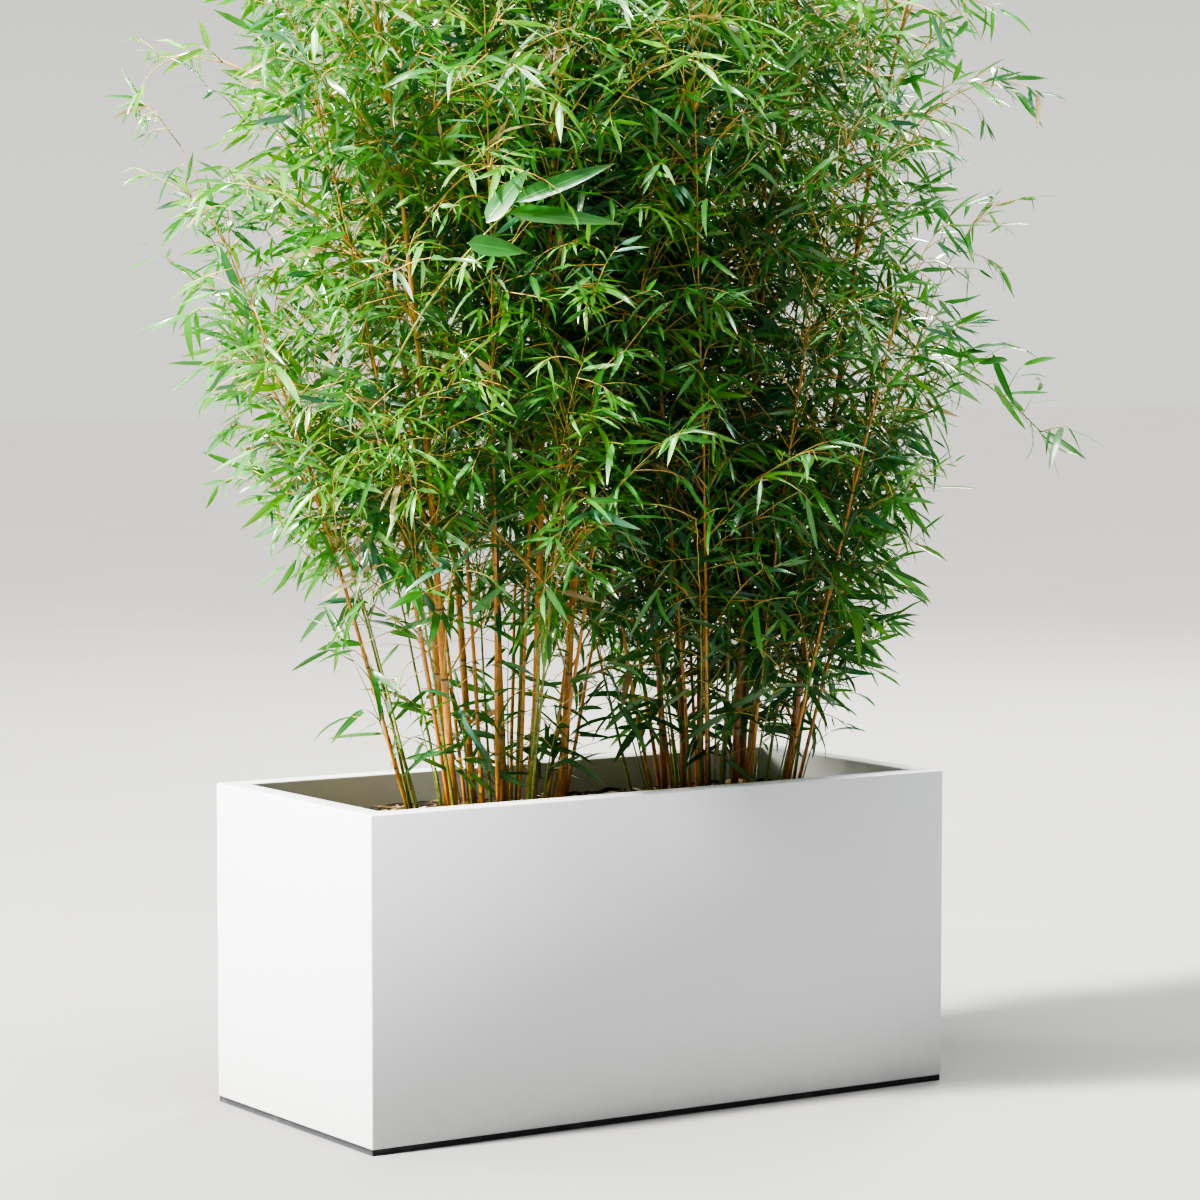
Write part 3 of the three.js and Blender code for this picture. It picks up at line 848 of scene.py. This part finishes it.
def grow_arch():
    owner = max(canes, key=lambda cane: axis_at(cane, ARCH_FROM).x)
    joint = next(i for i, point in enumerate(owner.points) if point.z > ARCH_FROM)
    start = owner.points[joint] + Vector((owner.radii[joint] * 0.7, 0, 0))
    return curve(start, ARCH_CREST, ARCH_TIP, ARCH_STEPS)


arch_line = grow_arch()
add_twigs(arch_line, 0, Draw(5), "arch", 0.6, 3, (0.02, 0.075), 2, "arch")
print("arch from", tuple(arch_line[0]), "all twigs", len(twigs))

# %% [markdown]
# ## Twigs become one mesh
#
# Thousands of twigs are drawn as arrays: all lines with the same number of points are turned
# into rings of three or four corners in one go. So few sides are enough, because a twig is
# about two millimetres thick and a bough less than four, and smooth shading rounds them.

# %% Closed tubes along many lines
def unit(vectors):
    return vectors / np.maximum(np.linalg.norm(vectors, axis=-1, keepdims=True), 1e-9)


def turned(first, second, angle):
    """Vectors turned by an angle from the first ones towards the second ones."""
    return first * np.cos(angle)[..., None] + second * np.sin(angle)[..., None]


def repeated(triangles, count, size):
    """The triangles of one thing with size corners, for many such things in a row."""
    return (triangles + np.arange(count)[:, None, None] * size).reshape(-1, 3)


def tube_arrays(lines, sides):
    """Corners and triangles of closed tapering tubes along lines of equally many points."""
    points = np.array([[tuple(p) for p in line.points] for line in lines])
    count, steps = points.shape[:2]
    ends = np.array([[line.start_radius, line.end_radius] for line in lines])
    share = np.linspace(0, 1, steps)
    radii = ends[:, :1] * (1 - share) + ends[:, 1:] * share
    along = unit(np.gradient(points, axis=1))
    chord = np.abs(points[:, -1] - points[:, 0])
    hint = np.eye(3)[chord.argmin(axis=1)][:, None, :]
    across = unit(hint - along * (hint * along).sum(2, keepdims=True))
    angles = np.arange(sides) * 2 * np.pi / sides
    ring = turned(across[:, :, None], np.cross(along, across)[:, :, None], angles)
    corners = points[:, :, None] + ring * radii[:, :, None, None]
    last = (steps - 1) * sides
    here = np.arange(last).reshape(-1, sides)
    beside = np.roll(here, -1, axis=1)
    walls = np.array([[here, beside, beside + sides], [here, beside + sides, here + sides]])
    caps = [[0, k + 1, k] for k in range(1, sides - 1)]
    caps += [[last, last + k, last + k + 1] for k in range(1, sides - 1)]
    triangles = np.concatenate([np.moveaxis(walls, 1, -1).reshape(-1, 3), caps])
    return corners.reshape(-1, 3), repeated(triangles, count, steps * sides)


def tubes(name, lines, sides):
    """One mesh of all the lines."""
    sizes = sorted({len(line.points) for line in lines})
    alike = [[line for line in lines if len(line.points) == size] for size in sizes]
    return mesh_from_arrays(name, [tube_arrays(some, sides) for some in alike])


def twig_finish():
    """Straw-coloured bark, browner in some places and greener in others."""
    finish = Finish("straw twig")
    patches = finish.noise(14.0, 4.0)
    fine = finish.noise(500.0, 2.0)
    colour = finish.mix(patches.between(0.3, 0.6), (0.62, 0.33, 0.1), (0.66, 0.5, 0.17))
    colour = finish.mix(patches.between(0.55, 0.75), colour, (0.34, 0.4, 0.1))
    relief = finish.bump(fine, 0.0002, 0.4)
    return finish.paint(Base_Color=colour, Roughness=0.42 + fine * 0.16, Normal=relief)


BOUGH_SIDES = 4
TWIG_SIDES = 3
ARCH = ["bough_right_arching"]
straw = twig_finish()
for side in ("left", "right"):
    for name, lines, sides in (("boughs_", boughs, BOUGH_SIDES), ("twigs_", twigs, TWIG_SIDES)):
        mesh = tubes(name + side, [line for line in lines if line.side == side], sides)
        dress(mesh, straw, solids("foliage_" + side))
arch_rings = stem_rings(arch_line, ARCH_RADIUS, 0.4)
dress(limbs("arching_bough", [arch_rings]), green_cane, ARCH)
arch_twigs = [twig for twig in twigs if twig.side == "arch"]
dress(tubes("arching_twigs", arch_twigs, TWIG_SIDES), straw, ARCH)

# %% [markdown]
# ## Leaves by the thousand
#
# A bamboo leaf is a narrow blade on a short stalk: widest a third of the way out, folded a
# little along its midrib, and drawn out to a long point that hangs. All leaves are made at
# once from arrays. Each has a place, a heading, the way its face looks, and small numbers for
# its droop, twist and fold. Its tint comes from its spray, so that neighbours match.

# %% Where the leaves sit
LEAVES_PER_FAN = 6
# The share of leaves kept at the two heights: low down more twigs are bare.
BARE_HEIGHTS = [0.55, 1.05]
LEAFY_SHARES = {"left": [0.62, 1.0], "right": [0.64, 1.0], "arch": [1.0, 1.0]}
LEAF_SPACE = {"crown": 0.0075, "low": 0.019, "arch": 0.014}  # between leaves along a twig
UP = np.array([0.0, 0.0, 1.0])


def point_back(points, distance):
    """The point of a line at a distance back from its end, or no numbers before its start."""
    for here, before in zip(points[::-1], points[-2::-1]):
        step = (here - before).length
        if distance <= step:
            return tuple(here.lerp(before, distance / step))
        distance -= step
    return (np.nan,) * 3


def leaf_places(fan):
    """Where the leaves of a fan leave its twig. A short twig has room for fewer of them."""
    space = LEAF_SPACE[fan.kind]
    return [point_back(fan.points, leaf * space) for leaf in range(LEAVES_PER_FAN)]


def fan_arrays(seed):
    """The places and headings of the leaves of all fans, and each leaf's fan."""
    chance = np.random.default_rng(seed)
    count = len(fans)
    roots = np.array([leaf_places(fan) for fan in fans])
    along = unit(np.array([tuple(fan.points[-1] - fan.points[-2]) for fan in fans]))
    sideways = unit(np.cross(along, UP) + 1e-6)
    sideways = unit(sideways + UP * chance.normal(0, 0.35, (count, 1)))
    leaf = np.arange(LEAVES_PER_FAN)
    swing = np.where(leaf % 2, 1.0, -1.0) * np.where(leaf == 0, 0.12, 1.0)
    angle = swing * chance.uniform(0.5, 1.05, (count, LEAVES_PER_FAN))
    heads = turned(along[:, None], sideways[:, None], angle)
    heads = heads + UP * chance.normal(-0.3, 0.4, (count, LEAVES_PER_FAN, 1))
    leafy = [np.interp(fan.points[-1].z, BARE_HEIGHTS, LEAFY_SHARES[fan.side]) for fan in fans]
    odds = np.where(leaf < 3, 0.95, 0.65) * np.array(leafy)[:, None]
    kept = chance.random((count, LEAVES_PER_FAN)) < odds
    kept &= ~np.isnan(roots[..., 0])
    return roots[kept], unit(heads[kept]), np.nonzero(kept)[0]


leaf_roots, leaf_heads, leaf_fans = fan_arrays(21)
print("leaves", len(leaf_roots), "on", len(fans), "fans")

# %% The blades
# Stations from the stalk to the point, and the half width there as a share of the widest.
# Small leaves are lens-shaped, large ones are straps that narrow late, and the broad ones of
# the young spray are drawn out to a point.
SMALL_BLADE = np.array([
    (0.0, 0.08), (0.06, 0.24), (0.24, 0.97), (0.62, 0.83), (1.0, 0.0),
])
LARGE_BLADE = np.array([
    (0.0, 0.06), (0.03, 0.14), (0.10, 0.74), (0.26, 0.98), (0.48, 1.0), (0.70, 0.80),
    (0.88, 0.42), (1.0, 0.0),
])
BROAD_BLADE = np.array([
    (0.0, 0.06), (0.03, 0.20), (0.10, 0.72), (0.20, 0.96), (0.34, 1.0), (0.50, 0.90),
    (0.66, 0.68), (0.80, 0.43), (0.91, 0.20), (1.0, 0.0),
])


def blade_arrays(roots, heads, chance, lengths, widths, blade, droop=(-0.1, 0.8), level=0.8,
                 facing=UP):
    """The corners of leaves. Each is a folded strip that droops and twists."""
    count = len(roots)
    stations, halves = blade.T
    faces_up = facing - heads * (heads @ facing)[:, None]
    faces_up = unit(faces_up + chance.normal(0, 1e-3, (count, 3)))
    roll = chance.normal(0, level, count)
    normal = unit(turned(faces_up, unit(np.cross(heads, faces_up)), roll))
    side = np.cross(heads, normal)[:, None]
    heads, normal = heads[:, None], normal[:, None]
    droop = chance.uniform(*droop, count)[:, None]
    twist = chance.normal(0, 0.4, count)[:, None]
    fold = chance.uniform(0.1, 0.45, count)[:, None, None]
    middles = (stations[1:] + stations[:-1]) / 2
    steps = (np.diff(stations) * lengths[:, None])[..., None]
    spine = (turned(heads, -normal, droop * middles**1.2) * steps).cumsum(1)
    spine = np.concatenate([np.zeros((count, 1, 3)), spine], 1) + roots[:, None]
    bend = droop * stations**1.2
    across = turned(side, turned(normal, heads, bend), twist * stations)
    lift = np.cross(across, turned(heads, -normal, bend))
    half = (widths[:, None] / 2 * halves)[..., None]
    raised = lift * half * fold
    left, right = spine - across * half + raised, spine + across * half + raised
    inner = np.stack([left, spine, right], 2)[:, :-1].reshape(count, -1, 3)
    return np.concatenate([inner, spine[:, -1:]], 1)


def blade_template(blade):
    """The triangles and UV pairs of one leaf."""
    stations = blade[:, 0]
    rows = len(stations) - 1
    triangles = []
    for row in range(rows - 1):
        for a in (3 * row, 3 * row + 1):
            triangles += [[a, a + 1, a + 4], [a, a + 4, a + 3]]
    tip = 3 * rows
    triangles += [[tip - 3, tip - 2, tip], [tip - 2, tip - 1, tip]]
    uv = [(u, v) for v in stations[:-1] for u in (0.0, 0.5, 1.0)] + [(0.5, 1.0)]
    return np.array(triangles), np.array(uv)


def leaf_arrays(corners, blade):
    """The flat lists of corners, triangles and UV pairs of many leaves."""
    count, size = corners.shape[:2]
    triangles, uv = blade_template(blade)
    return corners.reshape(-1, 3), repeated(triangles, count, size), np.tile(uv, (count, 1))


print("triangles of a leaf", [len(blade_template(b)[0]) for b in (SMALL_BLADE, LARGE_BLADE)])

# %% Grow the leaves and keep those that have room
SMALL_LENGTH = (0.026, 0.074)
LARGE_LENGTH = (0.052, 0.100)
SMALL_WIDTH_SHARE = {"left": (0.115, 0.165), "right": (0.095, 0.145), "arch": (0.08, 0.10)}
LARGE_WIDTH_SHARE = (0.095, 0.13)
LARGE_BELOW = 0.95
PROUD = np.array([0.045, 0.024, 0.04])  # how far a leaf may stand out of the solids' box
TIP_REACH = 1.16  # the furthest out that a leaf's tip may be, where 1 is the crown's outline
RIM_GAP = 0.004
SOIL_GAP = 0.008
LARGE_ODDS = (0.20, 0.035)  # below LARGE_BELOW and above it


def has_room(corners):
    """True for leaves that stay in the crown, above the rim and clear of the soil."""
    in_crown = crown_share(*corners[:, -1].T) < TIP_REACH
    low, high = corners.min(1), corners.max(1)
    inner = [planter_high.x - WALL - RIM_GAP, planter_high.y - WALL - RIM_GAP]
    within = (np.abs(corners[..., :2]).max(1) < inner).all(1)
    clear = low[:, 2] > np.where(within, soil_high.z + SOIL_GAP, planter_high.z + SOIL_GAP)
    in_box = (high < np.array(cad_high) + PROUD) & (low > np.array(cad_low) - PROUD)
    return in_crown & clear & in_box.all(1)


leaf_kinds = np.array([fans[i].kind for i in leaf_fans])
leaf_sides = np.array([fans[i].side for i in leaf_fans])
leaf_sprays = np.array([fans[i].spray for i in leaf_fans])
leaf_chance = np.random.default_rng(33)
odds = np.where(leaf_roots[:, 2] < LARGE_BELOW, *LARGE_ODDS)
is_large = (leaf_kinds != "crown") | (leaf_chance.random(len(leaf_roots)) < odds)


def grow_leaves(chosen, blade, lengths, share, droop):
    """The corners of those of the chosen leaves that have room, and which ones they are."""
    widths = lengths * leaf_chance.uniform(share[:, 0], share[:, 1])
    corners = blade_arrays(leaf_roots[chosen], leaf_heads[chosen], leaf_chance, lengths, widths,
                           blade, droop)
    room = has_room(corners) | (leaf_kinds[chosen] == "arch")
    return corners[room], np.nonzero(chosen)[0][room]


small_count = int((~is_large).sum())
spray_size = 0.85 + 0.3 * (leaf_sprays[~is_large] * 7 % 1)
small_lengths = SMALL_LENGTH[0] + np.ptp(SMALL_LENGTH) * leaf_chance.random(small_count) ** 1.3
small_share = np.array([SMALL_WIDTH_SHARE[side] for side in leaf_sides[~is_large]])
small_corners, small_index = grow_leaves(~is_large, SMALL_BLADE, small_lengths * spray_size,
                                         small_share, (-0.1, 0.8))
large_lengths = leaf_chance.uniform(*LARGE_LENGTH, int(is_large.sum()))
large_share = np.tile(LARGE_WIDTH_SHARE, (len(large_lengths), 1))
large_corners, large_index = grow_leaves(is_large, LARGE_BLADE, large_lengths, large_share,
                                         (0.1, 1.0))
print("small leaves", len(small_index), "large leaves", len(large_index))

# %% [markdown]
# ## Leaf colours
#
# Seen closely a leaf is never one green: young sprays are yellow-green, older ones deep green,
# some have a bluish bloom, and a few are dry and straw-coloured. A thin leaf also lets light
# through, so a Translucent shader is mixed in, which makes leaves with a light behind them
# glow. The veins run along the blade, so they are drawn from the leaf's own UV map.

# %% Leaf finishes
GLOW_SHARE = 0.27
# Of each tint: the material's name, a darker and a lighter colour, what shines through and
# the roughness.
LEAF_LOOKS = {
    "fresh": ("fresh leaf", (0.088, 0.295, 0.038), (0.165, 0.4, 0.064), (0.34, 0.78, 0.08), 0.42),
    "mid": ("mid green leaf", (0.045, 0.22, 0.038), (0.095, 0.32, 0.06), (0.18, 0.6, 0.065), 0.4),
    "deep": (
        "deep green leaf", (0.043, 0.155, 0.038), (0.09, 0.24, 0.06), (0.09, 0.42, 0.06), 0.36,
    ),
    "blue": ("bluish leaf", (0.032, 0.135, 0.081), (0.068, 0.216, 0.135), (0.13, 0.45, 0.14), 0.36),
    "broad": ("broad young leaf", (0.03, 0.15, 0.038), (0.06, 0.24, 0.06), (0.2, 0.6, 0.08), 0.36),
    "dry": ("dry leaf", (0.4, 0.3, 0.14), (0.55, 0.45, 0.25), (0.5, 0.36, 0.14), 0.5),
}


def leaf_finish(name, colour, light, through, roughness):
    """A satin blade with a pale midrib, fine veins along it and light coming through."""
    finish = Finish(name)
    across, along = finish.across_and_along()
    rib = 1.0 - ((across - 0.5).distance() * 2.0).between(0.03, 0.12)
    veins = ((across * 13.0).fraction() - 0.5).distance()
    cloud = finish.noise(9.0)
    pale = tuple(min(1, 1.6 * part + 0.04) for part in light)
    blade = finish.mix(cloud.between(0.35, 0.7), colour, light)
    blade = finish.mix(rib * 0.55 + veins * 0.16, blade, pale)
    blade = finish.mix(along.between(0.75, 1.0) * 0.25, blade, (0.5, 0.42, 0.14))
    satin = finish.surface(
        Base_Color=blade, Roughness=roughness + cloud * 0.14,
        Normal=finish.bump(rib * 0.6 + veins * 0.35, 0.0004, 0.6),
        Specular_IOR_Level=1.0, Coat_Weight=1.0, Coat_Roughness=0.17,
    )
    glow = finish.node("ShaderNodeBsdfTranslucent", inputs={"Color": through})
    both = finish.node("ShaderNodeMixShader", inputs={0: GLOW_SHARE, 1: satin, 2: glow})
    return finish.close(both)


leaf_finishes = {tint: leaf_finish(*look) for tint, look in LEAF_LOOKS.items()}
print("leaf finishes", list(leaf_finishes))

# %% Deal the tints out by spray
TINTS = ["fresh", "mid", "deep", "blue", "dry"]
AGES = [0.40, 0.64]  # where mid and deep leaves begin
BLUE_SHARE = 0.13
DRY_SHARE = 0.012


def spray_tints():
    """A tint for each fan: fresh outside and high up, deep inside and low down, and deeper on the
    right, partly for older leaves and partly as painted shade.
    """
    chance = np.random.default_rng(8)
    count = len(fans)
    x, y, z = np.array([tuple(fan.points[-1]) for fan in fans]).T
    spray = np.array([fan.spray for fan in fans])
    high = (z - soil_high.z) / (TOTAL_HEIGHT - soil_high.z)
    age_and_shade = 0.5 * spray + 0.3 * chance.random(count) + 0.1 * (1 - high)
    # The last term deepens the green towards the right. Part of this is older leaves, and part is
    # painted shade for the shade that falls on that side.
    age_and_shade = age_and_shade + 0.2 * (1 - crown_share(x, y, z)) + 0.13 * np.clip(x / 0.4, 0, 1)
    tint = np.digitize(age_and_shade, AGES)
    blue = (chance.random(count) < BLUE_SHARE) & (tint > 0)
    tint = np.where(blue, TINTS.index("blue"), tint)
    return np.where(chance.random(count) < DRY_SHARE, TINTS.index("dry"), tint)


leaf_tints = spray_tints()[leaf_fans]
loose_dry = np.random.default_rng(4).random(len(leaf_tints)) < DRY_SHARE
leaf_tints = np.where(loose_dry, TINTS.index("dry"), leaf_tints)
for side in ("left", "right"):
    of_side = (leaf_sides == "left") == (side == "left")
    for index, tint in enumerate(TINTS):
        wanted = of_side & (leaf_tints == index)
        mesh = mesh_from_arrays(f"leaves_{tint}_{side}", [
            leaf_arrays(small_corners[wanted[small_index]], SMALL_BLADE),
            leaf_arrays(large_corners[wanted[large_index]], LARGE_BLADE),
        ])
        dress(mesh, leaf_finishes[tint], solids("foliage_" + side))

# %% [markdown]
# ## The broad young spray
#
# Among the small leaves one young shoot of the left clump carries four broad blades, which are
# the largest leaves of the plant. Its stalk starts at the nearest joint of a cane and bows to
# the place where the blades spread. Each blade is given by its two ends and its width.

# %% Grow the broad spray
SPRAY_BASE = Vector((-0.350, -0.360, 1.308))
SPRAY_BEND = Vector((-0.480, -0.345, 1.205))
BROAD_LEAVES = [
    ((-0.391, -0.360, 1.288), (-0.337, -0.380, 1.366), 0.030),
    ((-0.347, -0.360, 1.316), (-0.188, -0.375, 1.377), 0.026),
    ((-0.357, -0.360, 1.301), (-0.178, -0.385, 1.296), 0.032),
    ((-0.418, -0.355, 1.260), (-0.330, -0.370, 1.248), 0.030),
]
BROAD_FACING = np.array([-0.45, -0.75, 0.49])
broad_roots, broad_tips, broad_widths = (np.array(part) for part in zip(*BROAD_LEAVES))


def broad_stalk():
    joints = [point for stem in thin_canes + canes for point in stem.points
              if stem.clump["side"] == "left" and 1.0 < point.z < 1.22]
    start = min(joints, key=lambda point: (point - SPRAY_BEND).length)
    return curve(start, SPRAY_BEND, SPRAY_BASE, 9)


stalk_line = broad_stalk()
stalks = [stem_rings(stalk_line, 0.0018, 0.6)]
for root in map(Vector, broad_roots):
    joint = min(stalk_line, key=lambda point: (point - root).length)
    stalks.append(stem_rings([joint, joint.lerp(root, 0.5), root], 0.0011, 0.8))
dress(limbs("broad_spray_stalk", stalks), green_cane, solids("foliage"))
broad_heads = broad_tips - broad_roots
broad_corners = blade_arrays(
    broad_roots, unit(broad_heads), np.random.default_rng(6), np.linalg.norm(broad_heads, axis=1),
    broad_widths, BROAD_BLADE, (0.0, 0.25), 0.2, BROAD_FACING,
)
dress(mesh_from_arrays("broad_leaves", [leaf_arrays(broad_corners, BROAD_BLADE)]),
      leaf_finishes["broad"], solids("foliage"))

# %% [markdown]
# ## The soil bed
#
# Damp humus fills the planter to four centimetres under the rim. A grid is lifted by noise
# and heaped up a little round the canes, and its outer edge is pulled down to make a closed
# body. Crumbs of bark and wood and a litter of dry leaves lie on it.

# %% Shape the soil
SOIL_CELLS = (150, 64)
SOIL_RELIEF = 0.006
SOIL_SINK = 0.010
HEAP = 0.010


def soil_level(x, y):
    """The height of the soil's surface at a point."""
    rough = noise.fractal(Vector((x * 22, y * 22, 0.3)), 0.8, 2.2, 4) * SOIL_RELIEF
    heap = sum(
        HEAP * math.exp(-(((x - c["x"]) / c["half_x"]) ** 2 + ((y - c["y"]) / c["half_y"]) ** 2))
        for c in CLUMPS
    )
    return soil_high.z - SOIL_SINK + rough + heap


def soil_mesh():
    shape = bmesh.new()
    half = (soil_high - soil_low) / 2
    bmesh.ops.create_grid(shape, x_segments=SOIL_CELLS[0], y_segments=SOIL_CELLS[1], size=1,
                          matrix=Matrix.Diagonal((half.x, half.y, 1, 1)))
    for corner in shape.verts:
        corner.co.z = soil_level(corner.co.x, corner.co.y)
    rim = [edge for edge in shape.edges if edge.is_boundary]
    wall = bmesh.ops.extrude_edge_only(shape, edges=rim)["geom"]
    for corner in only(bmesh.types.BMVert, wall):
        corner.co.z = soil_low.z
    bmesh.ops.edgeloop_fill(shape, edges=only(bmesh.types.BMEdge, wall))
    return mesh_from_shape("soil_bed", shape)


def humus():
    finish = Finish("damp humus")
    coarse = finish.noise(60.0, 6.0)
    fine = finish.noise(420.0, 5.0)
    fibres = finish.noise(1.0, axes=(90.0, 600.0, 200.0)).between(0.62, 0.72)
    colour = finish.mix(coarse.between(0.35, 0.7), (0.018, 0.012, 0.008), (0.06, 0.038, 0.022))
    return finish.paint(
        Base_Color=finish.mix(fibres * 0.5, colour, (0.2, 0.13, 0.07)),
        Roughness=0.85 + fine * 0.12,
        Normal=finish.bump(coarse + fine * 0.5, 0.004, 0.8),
    )


dress(soil_mesh(), humus(), ["soil"])

# %% Scatter crumbs and litter
CRUMBS = 1500
LITTER = 100


def scatter(chance, count, margin, lift):
    """Places on the soil, a margin inside the wall."""
    x = chance.uniform(-1, 1, count) * (soil_high.x - margin)
    y = chance.uniform(-1, 1, count) * (soil_high.y - margin)
    return np.array([(*place, soil_level(*place) + lift) for place in zip(x, y)])


def crumb_arrays(count, seed, low_size, high_size):
    """Small angular crumbs on the soil, each a squeezed and turned icosphere."""
    chance = np.random.default_rng(seed)
    pattern = bmesh.new()
    bmesh.ops.create_icosphere(pattern, subdivisions=1, radius=0.5)
    ball = np.array([tuple(corner.co) for corner in pattern.verts])
    faces = np.array([[corner.index for corner in face.verts] for face in pattern.faces])
    pattern.free()
    size = chance.uniform(low_size, high_size, (count, 1, 1))
    size = size * chance.uniform(0.4, 1.0, (count, 1, 3))
    size[..., 2] *= 0.55
    shape = ball * size * chance.uniform(0.75, 1.2, (count, len(ball), 1))
    angle = chance.uniform(0, 2 * np.pi, (count, 1))
    quarter_turn = shape[..., 1::-1] * (-1, 1)
    shape[..., :2] = turned(shape[..., :2], quarter_turn, angle)
    corners = shape + scatter(chance, count, 0.02, 0.001)[:, None]
    return corners.reshape(-1, 3), repeated(faces, count, len(ball))


def crumb_finish(name, dark, light):
    finish = Finish(name)
    colour = finish.mix(finish.noise(55.0).between(0.35, 0.65), dark, light)
    grain = finish.noise(700.0)
    relief = finish.bump(grain, 0.0006, 0.6)
    return finish.paint(Base_Color=colour, Roughness=0.8 + grain * 0.1, Normal=relief)


dark_crumb = crumb_finish("dark crumb", (0.02, 0.013, 0.009), (0.085, 0.05, 0.03))
bark_chip = crumb_finish("bark chip", (0.16, 0.09, 0.05), (0.42, 0.29, 0.19))
dress(mesh_from_arrays("dark_crumbs", [crumb_arrays(CRUMBS, 71, 0.004, 0.014)]), dark_crumb,
      smooth=False)
dress(mesh_from_arrays("bark_chips", [crumb_arrays(CRUMBS // 4, 72, 0.006, 0.018)]), bark_chip,
      smooth=False)


def litter_mesh():
    """Dry leaves that lie on the soil."""
    chance = np.random.default_rng(73)
    places = scatter(chance, LITTER, 0.09, 0.009)
    turn = chance.uniform(0, 2 * np.pi, LITTER)
    heads = unit(np.stack([np.cos(turn), np.sin(turn), chance.uniform(-0.02, 0.16, LITTER)], 1))
    lengths = chance.uniform(0.035, 0.07, LITTER)
    corners = blade_arrays(places, heads, chance, lengths, lengths * 0.14, SMALL_BLADE, level=0.3)
    return mesh_from_arrays("leaf_litter", [leaf_arrays(corners, SMALL_BLADE)])


dress(litter_mesh(), leaf_finishes["dry"])

# %% [markdown]
# ## Floor and light
#
# The plant stands on a plain pale floor. The key is a sun high on the left, made a few degrees
# wide so that its shadows are soft. It lights the planter's short side and the tops of the
# leaves. Round area lights behind the plant shine through the crown and onto the canes' feet,
# and one overhead fills the middle. Real softboxes stand in the same way round a plant.

# %% Lay the floor and hang the lights
FLOOR_HALF = 40.0


def pale_floor():
    finish = Finish("pale floor")
    colour = finish.mix(finish.noise(1.5), (0.26, 0.258, 0.254), (0.285, 0.283, 0.279))
    return finish.paint(Base_Color=colour, Roughness=0.95, Specular_IOR_Level=0.15)


floor_shape = bmesh.new()
bmesh.ops.create_grid(floor_shape, x_segments=4, y_segments=4, size=FLOOR_HALF)
floor = put("floor", mesh_from_shape("floor", floor_shape))
floor.data.materials.append(pale_floor())


def hang_light(name, kind, direction, power, colour):
    """A light that looks in a direction."""
    lamp = bpy.data.lights.new(name, kind)
    lamp.energy = power
    lamp.color = colour
    holder = put(name, lamp)
    holder.rotation_euler = Vector(direction).to_track_quat("-Z", "Y").to_euler()
    return holder


KEY_DIRECTION = (0.70, -0.05, -0.74)
KEY_SPREAD = math.radians(5)
# Of each round light: where it hangs, what it looks at, its size, power and colour.
ROUND_LIGHTS = {
    "back": ((5.3, 4.1, 5.3), (0.2, 0, 1.2), 2.6, 450, (1.0, 0.98, 0.94)),
    "low": ((-2.4, 2.6, 1.7), (0.1, 0, 0.75), 1.2, 77, (1.0, 0.97, 0.9)),
    "top": ((0.0, -1.0, 9.0), (0.0, 0, 1.3), 4.0, 940, (0.97, 0.99, 1.0)),
}
key = hang_light("key", "SUN", KEY_DIRECTION, 9.5, (1.0, 0.975, 0.93))
key.data.angle = KEY_SPREAD
for name, (place, target, size, power, colour) in ROUND_LIGHTS.items():
    holder = hang_light(name, "AREA", Vector(target) - Vector(place), power, colour)
    holder.location = place
    holder.visible_camera = False
    holder.data.shape = "DISK"
    holder.data.size = size

# %% Light the room
# The sky is pale at the horizon, so that the floor fades into it, and dimmer above.
HORIZON = 0.67
ZENITH = 0.15
sky = Finish("studio", "worlds")
direction = sky.node("ShaderNodeTexCoord", output="Generated")
rise = sky.node("ShaderNodeSeparateXYZ", inputs={0: direction}, output="Z")
fade = {"Value": rise, "From Min": 0.03, "From Max": 0.3, "To Min": HORIZON, "To Max": ZENITH}
strength = sky.node("ShaderNodeMapRange", {"interpolation_type": "SMOOTHSTEP"}, fade)
glow = {"Color": (0.97, 0.96, 0.93), "Strength": strength}
sky.node("ShaderNodeOutputWorld", inputs={"Surface": sky.node("ShaderNodeBackground", inputs=glow)})
bpy.context.scene.world = sky.block
bpy.context.scene.view_settings.look = "AgX - Very High Contrast"
print("lights", [o.name for o in bpy.data.objects if o.type == "LIGHT"])
